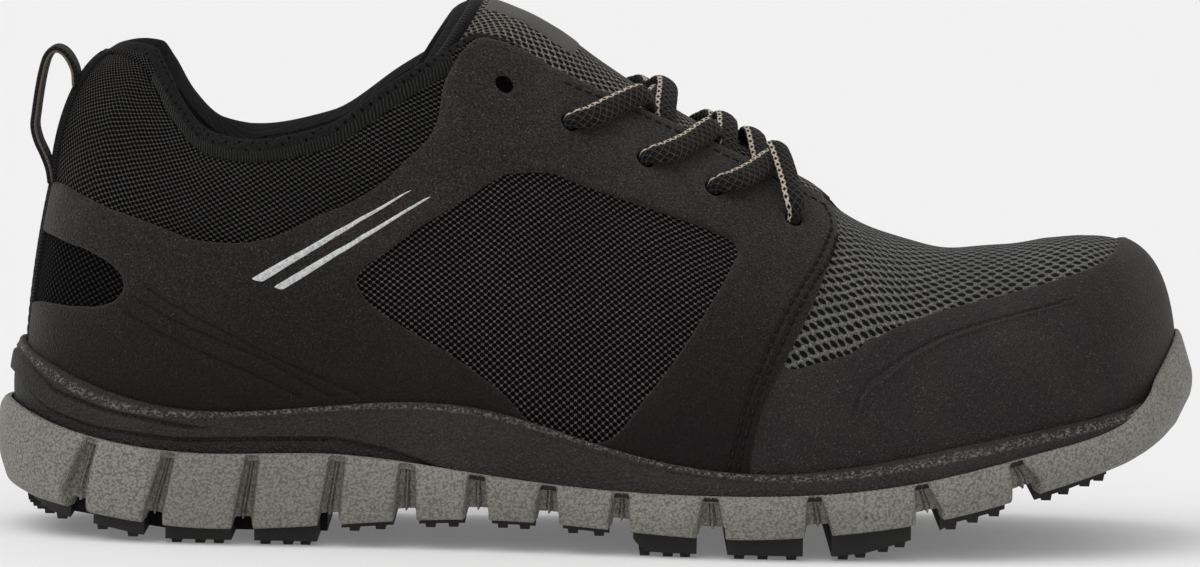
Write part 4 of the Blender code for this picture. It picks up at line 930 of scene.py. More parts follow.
def makeMidsole():
    # The dark band: a ring at every height, its reach the band's own plus the moulded lines
    u = np.linspace(0, loopStations, 561)[:-1]
    size = shoe["soleHeight"]
    rimRise = riseAt(size * rimLine(u), u)
    joint, seat, rim = (size * line(u) for line in (jointLine, seatLine, rimLine))
    inner = size * np.minimum(jointLine(u), seatLine(u)) - 0.0036
    normal = unit(upperNormal(u, 0.05) * (1, 1, 0))
    top = skinAt(u, rimRise, 0 * u + 0.9)
    low = outlineRing(u, bandReach(u) - 0.0004, joint - 0.0004)
    lip = top + normal * 0.0021
    lip[:, 2] = rim - 0.0007
    t = np.concatenate([np.linspace(0, 0.9, 44), np.linspace(0.9, 1, 7)[1:]])
    xSurface = 1000 * (footPoint(u)[:, 0] - 0.0044 * np.clip(1 - footPoint(u)[:, 0] / 0.02, 0, 1))
    upperZ = np.interp(xSurface, *np.array(bandLines["upper"]).T) / 1000
    lowerZ = np.interp(xSurface, *np.array(bandLines["lower"]).T) / 1000
    z = low[:, None, 2] + (lip[:, None, 2] - low[:, None, 2]) * t
    flat = low[:, None] * (1 - t[None, :, None]) + lip[:, None] * t[None, :, None]
    bulge = bandLines["bulge"] * np.sin(np.pi * t)[None, :]
    step = bandLines["step"] * ease((z - lowerZ[:, None]) / 0.0006 + 0.5) - 0.0003
    groove = -bandLines["groove"] * np.exp(-((z - upperZ[:, None]) / bandLines["grooveHalf"])**2)
    groove = groove * ease((60 - xSurface) / 14)[:, None]
    beside = -bandLines["crease"] * np.exp(-((z - lowerZ[:, None] + 0.0003) / 0.0004)**2)
    fade = ease((1 - t) / 0.12)[None, :]
    out = sideways(u)
    wall = flat + out[:, None] * ((bulge + step + groove + beside * ease(t / 0.05)) * fade)[..., None]
    covered = ease((lipLine(u) - 0.16) / 0.12)[:, None] * ease((0.92 - t) / 0.2)[None, :]
    wall = wall - out[:, None] * (bandLines["hidden"] * covered)[..., None]
    crown = np.linspace(0, 1, 7)[1:]
    ring = lip + out * 0.0001
    roll = [ring * (1 - c) + top * c + np.array((0, 0, 1.0)) * 0.0009 * np.sin(np.pi * c**0.8)
            for c in crown]
    cup = [skinAt(u, rimRise * part, 0 * u + 0.4) for part in (0.66, 0.33, 0.0)]
    cup[2][:, 2] = seat - 0.0003
    rows = [outlineRing(u, -0.0026, inner), outlineRing(u, -0.0014, inner + 0.001),
            outlineRing(u, -0.0004, joint - 0.0007)]
    rows += list(wall.transpose(1, 0, 2)) + roll + cup
    grid = np.stack(rows, 1)
    surface = Surface()
    surface.addGrid(grid, wallFlats(u, grid), wrap=True)
    surface.addGrid(ladder(grid[:, 0], 4), turn=True)
    surface.addGrid(ladder(grid[:, -1], 4))
    piece = makePiece("midsoleBand", surface, ["midsole"], [bandRubber])
    # how near each point lies to the band's top rim, where its material paints a glint
    co = np.zeros(len(piece.data.vertices) * 3)
    piece.data.vertices.foreach_get("co", co)
    co = co.reshape(-1, 3) - shoe["shift"]
    angle = np.arctan2(footPoint(u)[:, 1], footPoint(u)[:, 0] - 0.13)
    here = np.arctan2(co[:, 1], co[:, 0] - 0.13)
    rimAt = np.interp(here, angle, rim, period=2 * np.pi)
    shares = np.clip(1 - np.abs(co[:, 2] - rimAt + 0.0004) / 0.0030, 0, 1)
    rimGlintShare = piece.data.attributes.new("rim", "FLOAT", "POINT")
    rimGlintShare.data.foreach_set("value", shares.astype(np.float32))


def soleColumnTable():
    # Every column of the sole's side: station at the top, station at the foot, groove depth
    rows = []
    lastTop, lastFoot = 0.0, 0.0
    lugs = []
    wall = [(0.0, 0.0), (0.2, 0.10), (0.5, 0.55), (0.8, 0.92), (1.05, 1.0)]
    middle = [(0.32, 1.0), (0.37, 1.0), (0.41, 1.22), (0.45, 1.0), (0.48, 0.82), (0.53, 0.82),
              (0.56, 1.0), (0.60, 1.26), (0.64, 1.0), (0.70, 1.0)]
    for edgesOf in grooves["rows"]:
        topA, topB, footA, footB = arcOf(np.array(edgesOf))
        topWide, footWide = topB - topA, footB - footA
        places = [(topA + mm * min(1, topWide / 4.2), footA + mm, deep) for mm, deep in wall]
        places += [(topA + share * topWide, footA + share * footWide, deep)
                   for share, deep in middle]
        places += [(topB - mm * min(1, topWide / 4.2), footB - mm, deep) for mm, deep in wall[::-1]]
        places = np.array(places)
        top, foot = (np.interp(places[:, k], patternArc, patternStations) for k in (0, 1))
        count = int(np.ceil(abs(arcOf(top[0]) - arcOf(lastTop)) / 1.6))
        start = len(rows)
        for k in range(0 if not rows else 1, count):
            f = k / count
            rows.append((lastTop + (top[0] - lastTop) * f, lastFoot + (foot[0] - lastFoot) * f, 0.0))
        lugs.append((max(start - 1, 0), len(rows)))
        rows.extend(zip(top, foot, places[:, 2]))
        lastTop, lastFoot = top[-1], foot[-1]
    start = len(rows)
    count = int(np.ceil((arcOf(toeStation) - arcOf(lastTop)) / 1.6))
    for k in range(1, count + 1):
        f = k / count
        rows.append((lastTop + (toeStation - lastTop) * f,
                     lastFoot + (toeStation - lastFoot) * f, 0.0))
    lugs.append((start - 1, len(rows) - 1))
    return np.array(rows), lugs


def bothSides(values, mirror=True):
    # A column's values on the outer side, then back along the inner side
    back = values[-2:0:-1]
    return np.concatenate([values, loopStations - back if mirror else back])


def lugRings(columns):
    # The profile of the grey sole at every column, from the underside up to the joint
    top, foot = bothSides(columns[:, 0]), bothSides(columns[:, 1])
    deep = bothSides(columns[:, 2], False)
    groove = deep * grooves["depth"]
    size = shoe["soleHeight"]
    lipIn = bandReach(top) + 0.0001
    joint = size * jointLine(top)
    lipTop = joint + size * lipLine(top)
    raised = np.clip((lipTop - joint) / (0.385 * size), 0, 1)
    rim = size * rimLine(top)
    behind = np.clip((lipTop - rim - 0.001) / 0.004, 0, 1)
    touch = skinAt(top, riseAt(lipTop, top), 0 * top + 1.0) - footPoint(top)
    touch = (touch * sideways(top)).sum(-1)
    lipNear = lipIn * (1 - behind) + touch * behind
    lug = size * lugLine(foot) + grooves["cross"] * np.minimum(deep, 1)
    reach = lugReach(foot)
    corner, depth = cornerHeight(foot), cornerDepth(foot)
    lipOut = np.maximum(bandReach(top) + 0.0016, lugReach(top) * 0.84) - raised * 0.0020
    inward = reach - np.maximum(depth, grooves["depth"]) - 0.0018
    fade = 1 - 0.45 * ease(raised * 3)
    bump = outlineRing(top, lugReach(top) * (1 - 0.02 * raised), joint + raised * 0.0085 - 0.0010)
    bump -= sideways(top) * (groove * 0.75 * fade)[:, None]
    ground = lug + 0.0004
    knee = outlineRing(foot, reach - groove, lug + corner)
    rings = [outlineRing(foot, inward, lug + 0.0010),
             outlineRing(foot, reach - np.maximum(depth, groove), ground),
             outlineRing(foot, reach - np.maximum(0.27 * depth, groove), lug + 0.34 * corner), knee]
    for f in (0.2, 0.4, 0.6, 0.8):
        middle = knee * (1 - f) + bump * f
        rings.append(middle + sideways(top) * (0.0006 * np.sin(np.pi * f) * (1 - deep))[:, None])
    rings += [bump, outlineRing(top, lipOut, lipTop), outlineRing(top, lipNear, lipTop),
              outlineRing(top, lipIn, np.minimum(rim + 0.001, lipTop - 0.0004)),
              outlineRing(top, lipIn, joint - 0.0006), outlineRing(top, 0.0, joint - 0.0009),
              outlineRing(top, -0.002, size * np.minimum(jointLine(top), seatLine(top)) - 0.0042)]
    return rings, top, foot


def softened(grid, share, first, last, reach):
    # Rounds a profile: P'(t) = (P(t - w) + 2 P(t) + P(t + w)) / 4, t the length along it
    part = grid[:, first:last]
    gone = np.linalg.norm(np.diff(part, axis=1), axis=-1).cumsum(1)
    gone = np.concatenate([0 * gone[:, :1], gone], 1)
    result = grid.copy()
    for k in np.flatnonzero(share > 0.01):
        t, p = gone[k], part[k]
        for wide in (reach, reach / 2):
            w = np.minimum(wide, np.minimum(t, t[-1] - t))
            low, high = (placesAt(t + step, t, p) for step in (-w, w))
            p = 0.25 * low + 0.5 * p + 0.25 * high
        result[k, first:last] = part[k] * (1 - share[k]) + p * share[k]
    return result


pads = {
    "line": np.array([   # the tread's underside: shares of the shoe's length and sole height
        (0.000, 0.240), (0.027, 0.136), (0.057, 0.092), (0.081, 0.068), (0.125, 0.017),
        (0.145, 0.000), (0.287, 0.000), (0.331, 0.034), (0.392, 0.064), (0.449, 0.060),
        (0.507, 0.026), (0.530, 0.006), (0.557, 0.000), (0.692, 0.000), (0.720, 0.019),
        (0.760, 0.091), (0.787, 0.146), (0.841, 0.254), (0.872, 0.308), (0.916, 0.400),
        (0.959, 0.485), (1.000, 0.560)]) * (shoe["length"], shoe["soleHeight"]),
    "toeEnd": 12.1, "inset": 0.0010, "tipInset": 0.0014, "minCorner": 0.0030,
    "heelBlock": 0.0013, "block": 0.0026, "waist": 0.0019, "letIn": 0.0045,
    "rowGap": 5.2, "cleat": (0.0014, 0.0017, 0.0016),   # row gap in mm; half sizes and height
}


def makeSole():
    # The grey sole is its profile carried round the shoe; under each lug lies a tread pad, a
    # low block between two lines across the foot, with rows of small cleats
    columns, lugs = soleColumnTable()
    rings, top, foot = lugRings(columns)
    radii = [0.001, 0.0008, 0.0006, 0.002, 0, 0, 0, 0.001, 0.0012, 0.0009, 0.0004, 0.0002, 0.0002, 0.0]
    rounded = bevelRings(rings, radii)
    grid = np.stack(rounded, 1)
    grid = softened(grid, np.clip(lipLine(top) / 0.3, 0, 1), 1, 40, 0.0056)
    surface = Surface()
    surface.addGrid(grid, wallFlats(top, grid), wrap=True)
    surface.addGrid(ladder(grid[:, 0], 14), turn=True)
    surface.addGrid(ladder(grid[:, -1], 4))
    makePiece("lugSole", surface, ["outsole"], [greySole])

    surface = Surface()
    names = ["tread_pad_%02d" % (k + 1) for k in range(13)]
    cleats = []
    treadLine = pads["line"]
    for first, last in lugs:
        s = columns[first:last + 1, 1]
        s = s[s < pads["toeEnd"]]
        tip = ease((shoe["soleHeight"] * lugLine(s) - 0.004) / 0.007)
        across = np.linspace(-1, 1, 17)
        behind = pads["inset"] + pads["tipInset"] * tip
        waist = (ease((s - 4.5) / 0.5) * ease((7.7 - s) / 0.5))[:, None]
        outer, inner = (
            outlineRing(u, lugReach(u) - np.maximum(cornerDepth(u), pads["minCorner"]) - behind, 0 * s)
            for u in (s, loopStations - s))
        share = (1 + across) / 2
        f = share[None, :, None]
        plan = outer[:, None] * (1 - f) + inner[:, None] * f
        near, far = (lugLine(u)[:, None] for u in (s, loopStations - s))
        roof = shoe["soleHeight"] * (near * (1 - share) + far * share) + 0.0012
        base = np.interp(plan[..., 0], treadLine[:, 0], treadLine[:, 1]) + 0.0011
        inset = np.linalg.norm(outer - inner, axis=1)[:, None] * (1 - np.abs(across)) / 2
        block = np.where(s < 4, pads["heelBlock"], pads["block"])[:, None]
        base = np.maximum(base, roof - block - 0.12 * inset - (1 - tip[:, None]) * 0.02)
        base = np.maximum(base, roof - pads["waist"] - (1 - waist) * 0.02)
        base = np.minimum(base, roof - 0.0005)
        low, high = plan.copy(), plan.copy()
        low[..., 2], high[..., 2] = base, roof + pads["letIn"] * tip[:, None]
        surface.addGrid(low, turn=True)
        surface.addGrid(high)
        for a, b, turn in ((low[:, 0], high[:, 0], False), (low[:, -1], high[:, -1], True),
                           (low[0], high[0], True), (low[-1], high[-1], False)):
            surface.addGrid(np.stack([a, b], 1), turn=turn)
        rows = max(2, int(round((arcOf(s[-1]) - arcOf(s[0])) / pads["rowGap"])))
        for r in range(rows):
            i = int(round((r + 0.5) / rows * (len(s) - 1)))
            line = plan[i]
            count = max(2, int(1000 * np.linalg.norm(line[-1] - line[0]) / pads["rowGap"]))
            t = (np.arange(count) + 0.5) / count
            spots = line[0] + (line[-1] - line[0]) * t[:, None]
            spots[:, 2] = np.interp(t, share, base[i]) - 0.0011
            cleats.append(spots)
    # a dark block put in the gaps between the heel pads, standing in for the shade under the shoe
    x = np.linspace(0.016, 0.082, 24)      # the low web that joins the pads under the heel
    floor = np.interp(x, treadLine[:, 0], treadLine[:, 1]) + 0.0014
    web = [np.stack([x, 0 * x + y, z + 0 * x], -1) for y, z in (
        (-0.017, floor), (0.017, floor), (0.017, 0.0125), (-0.017, 0.0125))]
    surface.addGrid(np.stack(web), wrap=True)
    for end, turn in ((-1, False), (0, True)):
        surface.addGrid(np.array([[web[0][end], web[3][end]], [web[1][end], web[2][end]]]), turn=turn)
    cleats = np.concatenate(cleats)
    long, wide, tall = pads["cleat"]
    shape = np.array([(x, y, z) for z in (0.0, tall) for x, y in
                      ((-1, -1), (1, -1), (1, 1), (-1, 1))], float)
    shape[:, :2] *= np.where(shape[:, 2:] > 0, 1.0, 0.82) * (long, wide)
    cleats[:, 0] = np.clip(cleats[:, 0], 0.004, 0.292)
    cleats[:, 2] = np.maximum(cleats[:, 2], 0.0001)
    faces = [(3, 2, 1, 0), (0, 1, 5, 4), (1, 2, 6, 5), (2, 3, 7, 6), (3, 0, 4, 7), (4, 5, 6, 7)]
    surface.addMany(cleats[:, None] + shape[None], faces)
    makePiece("treadPads", surface, names, [treadRubber], smooth=False)


def makeInsole():
    # A cupped foam sheet, covered in cloth: z rises toward the edges of the foot
    u = np.linspace(0, loopStations, 225)[:-1]
    base = shoe["soleHeight"] * seatLine(u) + 0.0023
    reach = -(shoe["wall"] + 0.0008)
    edge = outlineRing(u, reach, base + 0.0048)
    grid = ladder(edge, 24)
    t = np.linspace(-1, 1, 24)[None, :]
    grid[..., 2] -= 0.0016 * (1 - t**4)
    under = grid.copy()
    under[..., 2] = ladder(outlineRing(u, reach, base), 24)[..., 2]
    surface = Surface()
    flats = 1000 * grid[..., :2]
    surface.addGrid(grid, flats)
    surface.addGrid(under, flats, turn=True)
    surface.addGrid(np.stack([under[:, 0], grid[:, 0]], 1))
    surface.addGrid(np.stack([under[:, -1], grid[:, -1]], 1), turn=True)
    makePiece("insoleSheet", surface, ["insole"], [insoleCloth])


tongue = {
    # station, buried rise, crown along, crown height, reach, thickness, clearance
    "rows": np.array([
        (5.62, 0.900, 0.361, 1.054, 0.160, 0.0062, 0.0010),
        (6.00, 0.840, 0.392, 1.062, 0.160, 0.0085, 0.0010),
        (6.35, 0.780, 0.424, 1.040, 0.150, 0.0088, 0.0016),
        (6.75, 0.740, 0.454, 1.006, 0.130, 0.0084, 0.0036),
        (7.20, 0.740, 0.493, 0.944, 0.110, 0.0076, 0.0036),
        (7.70, 0.740, 0.540, 0.876, 0.090, 0.0068, 0.0036),
        (8.20, 0.740, 0.598, 0.803, 0.075, 0.0060, 0.0036),
        (8.70, 0.740, 0.652, 0.742, 0.060, 0.0054, 0.0036),
        (9.05, 0.740, 0.690, 0.686, 0.040, 0.0048, 0.0036),
        (9.32, 0.740, 0.706, 0.000, 0.000, 0.0042, 0.0027),
        (9.70, 0.760, 0.740, 0.000, 0.000, 0.0030, 0.0014),
        (10.10, 0.800, 0.770, 0.000, 0.000, 0.0026, 0.0010),
    ]),
    "fill": 0.6,
    "piping": 5.92,                               # station where the front cloth ends
    "patch": ((6.02, 7.02), (23.5, 36.5)),        # stations, and columns of the tongue's grid
}


def tongueRow(values, count):
    # One line across the tongue, from one buried edge over the instep to the other
    s, buried, crownAlong, crownHeight, reach, _, clear = values
    v = buried + (1 - buried) * np.linspace(0, 1, 40 if s >= throatStation else 20)
    outer, inner = liningPoint(s, v, clear), liningPoint(loopStations - s, v, clear)
    if s >= throatStation:
        line = np.concatenate([outer, inner[-2::-1]])
    else:
        a, d = outer[-1], inner[-1]
        crown = np.array((shoe["heelOverhang"] + upperLength * crownAlong, (a[1] + d[1]) / 2,
                          shoe["upperHeight"] * crownHeight))
        push = (8 * crown - 4 * a - 4 * d) / 6
        side = np.array((0, shoe["ballWidth"] * reach, 0))
        b, c = a + push + side, d + push - side
        f = np.linspace(0, 1, 60)[1:-1, None]
        g = 1 - f
        arch = g**3 * a + 3 * g**2 * f * b + 3 * g * f**2 * c + f**3 * d
        line = np.concatenate([outer, arch, inner[::-1]])
    gone = lengthAlong(line)
    line = placesAt(np.linspace(0, gone[-1], count), gone, line)
    for _ in range(4):
        line[1:-1] = 0.25 * line[:-2] + 0.5 * line[1:-1] + 0.25 * line[2:]
    return line


def tongueSurface(count=61):
    # The rows of the table, joined by a smooth curve along the shoe
    table = np.array([tongueRow(row, count) for row in tongue["rows"]])
    knots = tongue["rows"][:, 0]
    s = np.linspace(knots[0], knots[-1], 90)
    grid = np.stack([np.stack([steady(s, knots, axis) for axis in column.T], -1)
                     for column in table.transpose(1, 0, 2)], 1)
    normal = unit(np.cross(np.gradient(grid, axis=0), np.gradient(grid, axis=1)))
    return s, grid, normal


def makeTongue():
    # A closed cushion: outer skin plus normal times a rounded profile, under skin below it
    s, grid, normal = tongueSurface()
    thick = np.interp(s, tongue["rows"][:, 0], tongue["rows"][:, 5])
    across = np.linspace(-1, 1, grid.shape[1])
    along = np.clip((s - s[0]) / 0.28, 0, 1)
    edge = np.sqrt(np.maximum(1 - across**10, 0))[None, :] * np.sqrt(1 - (1 - along)**2)[:, None]
    end = np.sqrt(np.clip((s[-1] - s) / 0.1, 0, 1))[:, None]
    full = thick[:, None] * edge * end
    middle = grid - normal * (0.5 * thick[:, None])[..., None]
    quilt = 0.0009 * np.cos(np.pi * across)[None, :] * ease((8.5 - s) / 1.5)[:, None] * edge
    outer = middle + normal * (0.5 * full + quilt * 0.4)[..., None]
    under = middle - normal * (0.5 * full + quilt)[..., None]
    gone = 1000 * lengthAlong(outer[:, len(across) // 2])
    span = 500 * np.linalg.norm(np.diff(outer, axis=1), axis=-1).sum(1)
    flats = np.stack([np.broadcast_to(gone[:, None], grid.shape[:2]), span[:, None] * across], -1)
    front = np.where((s[:-1] > tongue["piping"])[:, None], 0, np.ones((1, grid.shape[1] - 1), int))
    surface = Surface()
    surface.addGrid(outer, flats, paint=front)
    surface.addGrid(under, flats, paint=1, turn=True)
    piece = makePiece("tonguePad", surface, ["tongue"], [tongueCloth, liningCloth])
    # the piping where the front cloth meets the lining, and the bare patch
    surface = Surface()
    row = int(np.argmin(np.abs(s - tongue["piping"])))
    tube(surface, outer[row, 4:-4], normal[row, 4:-4], 0.0016, 0.0014, 10)
    makePiece("tonguePiping", surface, [], [blackWebbing])
    surface = Surface()
    stations, columns = tongue["patch"]
    places = np.interp(np.linspace(*stations, 26), s, np.arange(len(s)))
    i, j = np.meshgrid(places, np.linspace(*columns, 25), indexing="ij")
    ex, ey = (np.minimum(np.arange(n), np.arange(n)[::-1]) for n in i.shape)
    rim = np.minimum(ex[:, None], ey)
    lift = np.where(rim == 0, -0.0003, np.where(rim == 1, 0.0002, 0.0003))
    up = unit(sampled(normal, i, j))
    patch = sampled(outer, i, j) + up * lift[..., None]
    surface.addGrid(patch, 1000 * patch[..., :2])
    surface.addGrid(patch - up * 0.0006, 1000 * patch[..., :2], turn=True)
    makePiece("tonguePatch", surface, ["tongue_patch"], [patchSheet])
    return s, outer, normal


def addTube(surface, path, rings, share, turn=False):
    # Rings of points along a path become a tube closed at its ends; its pattern is the length
    # along it in mm, and the given share round it
    count = rings.shape[1]
    ends = np.concatenate([path[:1, None].repeat(count, 1), rings, path[-1:, None].repeat(count, 1)])
    gone = 1000 * lengthAlong(path)
    flats = np.stack(np.broadcast_arrays(np.concatenate([gone[:1], gone, gone[-1:]]),
                                         share[:, None]), -1)
    surface.addGrid(ends.transpose(1, 0, 2), flats, wrap=True, turn=turn)


def tube(surface, path, up, wide, thick, count, relief=None, turned=False):
    # An oval section carried along a path: p + cos(a) wide side + sin(a) thick up
    run = unit(np.gradient(path, axis=0))
    side = unit(np.cross(run, up))
    face = np.cross(side, run)
    angle = np.linspace(0, 2 * np.pi, count, endpoint=False)
    wide, thick = (np.broadcast_to(size, len(path))[:, None, None] for size in (wide, thick))
    shape = 1 if relief is None else (1 + relief)[..., None]
    rings = path[:, None] + shape * (np.cos(angle)[None, :, None] * wide * side[:, None]
                                     + np.sin(angle)[None, :, None] * thick * face[:, None])
    share = np.arange(count + 1.0) / count
    addTube(surface, path, rings, 0.5 - share if turned else share, turn=True)


def through(points, count):
    # Catmull-Rom curve through its points
    points = np.asarray(points, float)
    ends = np.concatenate([[2 * points[0] - points[1]], points, [2 * points[-1] - points[-2]]])
    f = (np.arange(count) / count)[None, :, None]
    a, b, c, d = (ends[k:len(points) - 1 + k, None] for k in range(4))
    path = 0.5 * (2 * b + (c - a) * f + (2 * a - 5 * b + 4 * c - d) * f**2
                  + (3 * b - a - 3 * c + d) * f**3)
    return np.concatenate([path.reshape(-1, points.shape[1]), points[-1:]])


lace = {
    "wide": 0.0060, "thick": 0.0028, "strands": 14, "pitch": 2.0, "relief": 0.03,
    # the way over the tongue: share toward the next eyelet, column of ten, and the lifts of
    # the strand below and the strand above
    "shares": (-0.14, 0.0, 0.06, 0.10, 0.12), "columns": (3.6, 5.0, 6.6, 8.2, 8.9),
    "lifts": ((0.0024, 0.0020, 0.0018, 0.0012, 0.0008), (0.0044, 0.0044, 0.0030, 0.0014, 0.0008)),
    "last": ((0.56, 3.8, 0.0044), (0.64, 5.0, 0.0042), (0.76, 6.4, 0.0046)),
}


def makeLaces(s, grid, normal):
    # The crossings: out of an eyelet, over the eyestay's edge, across the tongue, under the flap
    outside = 0.0003 + shoe["overlay"] + 0.0003 + lace["thick"] / 2
    last = grid.shape[1] - 1

    def leave(number, innerSide, toward, extra=0.0):
        station, v = edges["eyelets"][number]
        u = loopStations - station if innerSide else station
        lean = loopStations - station - toward if innerSide else station + toward
        out = upperNormal(u, v)
        hole = upperPoint(u, v)
        across = unit(upperPoint(lean, 1.0) - hole)
        edgeUp = unit(upperNormal(lean, 1.0) + 0.8 * across)
        stops = [(hole - out * 0.0012 - across * 0.0004, -across, 0.5, 1.0),
                 (hole + out * 0.0024 + across * 0.0006, unit(out - across), 0.7, 1.1)]
        for part in (0.3, 0.65):
            way, rise = u + (lean - u) * part, v + (1 - v) * part**1.5
            up = upperNormal(way, rise)
            stops.append((upperPoint(way, rise) + up * (outside * 1.22 + extra * part), up, 1.0, 1.0))
        stops.append((upperPoint(lean, 1.0) + edgeUp * (outside * 1.35 + extra), edgeUp, 1.0, 1.0))
        return stops

    def over(number, innerSide, share, column, lift):
        low, high = edges["eyelets"][number][0], edges["eyelets"][number + 1][0]
        row = np.interp(low * (1 - share) + high * share, s, np.arange(len(s)))
        spot = column / 10 * last
        spot = last - spot if innerSide else spot
        up = unit(sampled(normal, row, spot))
        return (sampled(grid, row, spot) + up * lift, up, 1.0, 1.0)

    def strand(surface, stops, turned):
        place = through([p for p, _, _, _ in stops], 16)
        up = unit(through([n for _, n, _, _ in stops], 16))
        size = through([(w, t, 0) for _, _, w, t in stops], 16)
        gone = 1000 * lengthAlong(place)
        marks = np.arange(0, gone[-1], 0.3)
        place, up, size = (placesAt(marks, gone, values) for values in (place, up, size))
        up = unit(up)
        count = 36
        share = np.arange(count) / count
        turn = marks[:, None] / lace["pitch"] / 2
        left, right = (np.cos(2 * np.pi * (lace["strands"] / 2 * share[None, :] + way))
                       for way in (turn, -turn))
        relief = lace["relief"] * np.maximum(left, right) - lace["relief"] * 0.5
        squash = 1 - 0.10 * np.abs(np.sin(2 * np.pi * share))[None, :]
        tube(surface, place, up, size[:, 0] * lace["wide"] / 2, size[:, 1] * lace["thick"] / 2,
             count, relief * np.ones((len(marks), count)) + squash - 1, turned)

    for number, toward, middle in ((1, 0.60, 1.38), (2, 0.46, 1.42), (3, 0.50, 1.00)):
        surface = Surface()
        first, second = (
            leave(number, innerSide, toward)
            + [over(number, innerSide, middle + share, column, lift)
               for share, column, lift in zip(lace["shares"], lace["columns"], lifts)]
            for innerSide, lifts in zip((False, True), lace["lifts"]))
        if number == 3:      # the last crossing goes down through the lowest eyelet
            second = leave(number, True, 0.34) + [
                over(number, True, share, column, lift) for share, column, lift in lace["last"]]
            second += leave(number + 1, False, -0.12, 0.0022)[::-1]
        strand(surface, first, False)
        strand(surface, second, True)
        makePiece("laceCrossing%d" % number, surface, ["lace_crossing_%d" % number],
                  [laceBraid])


pull = {
    "path": [(0.0605, 0.880), (0.0590, 0.912), (0.0520, 0.942), (0.0435, 0.952), (0.0365, 0.938),
             (0.0325, 0.908), (0.0295, 0.868), (0.0272, 0.826), (0.0262, 0.798), (0.0290, 0.770),
             (0.0345, 0.742), (0.0390, 0.714), (0.0410, 0.686)],   # seen from the side, shares
    "halfWide": 0.0070, "halfThick": 0.00095,
}


def makePullLoop():
    # A flat strap bent into a loop: a rounded oblong section carried along the side view path
    path = through([(x * shoe["length"], 0, z * shoe["upperHeight"]) for x, z in pull["path"]], 8)
    run = unit(np.gradient(path, axis=0))
    side = np.array((0.0, 1.0, 0.0))
    face = unit(np.cross(run, side))
    angle = np.linspace(0, 2 * np.pi, 40, endpoint=False)
    across = np.sign(np.cos(angle)) * np.abs(np.cos(angle))**0.35
    thick = np.sign(np.sin(angle)) * np.abs(np.sin(angle))**0.5
    inwardness = np.where(np.abs(across) > 0.86, 7 + 2 * thick, 7 * across * 0.8)
    rings = (path[:, None] + side * (pull["halfWide"] * across)[None, :, None]
             + face[:, None] * (pull["halfThick"] * thick)[None, :, None])
    surface = Surface()
    addTube(surface, path, rings, np.append(inwardness, inwardness[0]))
    makePiece("pullLoop", surface, ["pull_loop"], [loopWebbing])


def linear(code):
    # sRGB hex to linear values
    parts = np.array([int(code[k:k + 2], 16) for k in (1, 3, 5)]) / 255
    return tuple(np.where(parts <= 0.04045, parts / 12.92, ((parts + 0.055) / 1.055)**2.4)) + (1.0,)


def add(tree, kind, inputs=None, out=0, stops=(), **settings):
    # One node: its settings, its values or links by socket, a ramp's places with their colours
    node = tree.nodes.new("ShaderNode" + kind)
    for key, value in settings.items():
        setattr(node, key, value)
    for key, value in (inputs or {}).items():
        if isinstance(value, bpy.types.NodeSocket):
            tree.links.new(value, node.inputs[key])
        else:
            node.inputs[key].default_value = linear(value) if isinstance(value, str) else value
    for number, (place, colour) in enumerate(stops):
        points = node.color_ramp.elements
        point = points[number] if number < 2 else points.new(place)
        point.position, point.color = place, linear(colour)
    return node.outputs[out]


def start(name, roughness, **values):
    # A material whose numbers that are the same all over stand on the shader's own sockets
    material = bpy.data.materials.new(name)
    material.use_nodes = True
    tree = material.node_tree
    shader = tree.nodes["Principled BSDF"]
    for key, value in dict(values, Roughness=roughness).items():
        value = linear(value) if isinstance(value, str) else value
        shader.inputs[key.replace("_", " ")].default_value = value
    return material, tree, shader


def painted(tree, colour, pattern, span, tint, share=(0.0, 1.0)):
    # Lays a tint over a colour: its share goes from the first to the second as the pattern
    # crosses its span
    part = add(tree, "MapRange", {0: pattern, 1: span[0], 2: span[1], 3: share[0], 4: share[1]})
    return add(tree, "Mix", {0: part, 6: colour, 7: tint}, 2, data_type="RGBA")


def closeSkin(tree, shader, colour, height, bump, depth):
    # The finished colour and relief go to the shader
    relief = add(tree, "Bump", {"Height": height, "Strength": bump, "Distance": depth})
    tree.links.new(colour, shader.inputs["Base Color"])
    tree.links.new(relief, shader.inputs["Normal"])


def ovals(tree, place, pitch, hole):
    # Two square rows of ovals, the second moved half a step: distance to the nearest centre,
    # 1 at the oval's rim
    far = []
    for shift in (0.0, 0.5):
        spot = add(tree, "VectorMath", {0: place, 1: (1 / pitch[0], 1 / pitch[1], 0),
                                        2: (shift, shift, 0)}, operation="MULTIPLY_ADD")
        spot = add(tree, "VectorMath", {0: spot, 1: (0.5, 0.5, 0.5), 2: (-0.5, -0.5, -0.5)},
                   operation="WRAP")
        spot = add(tree, "VectorMath", {0: spot, 1: (pitch[0] / hole[0], pitch[1] / hole[1], 0)},
                   operation="MULTIPLY")
        far.append(add(tree, "VectorMath", {0: spot}, "Value", operation="LENGTH"))
    return add(tree, "Math", {0: far[0], 1: far[1]}, operation="MINIMUM")


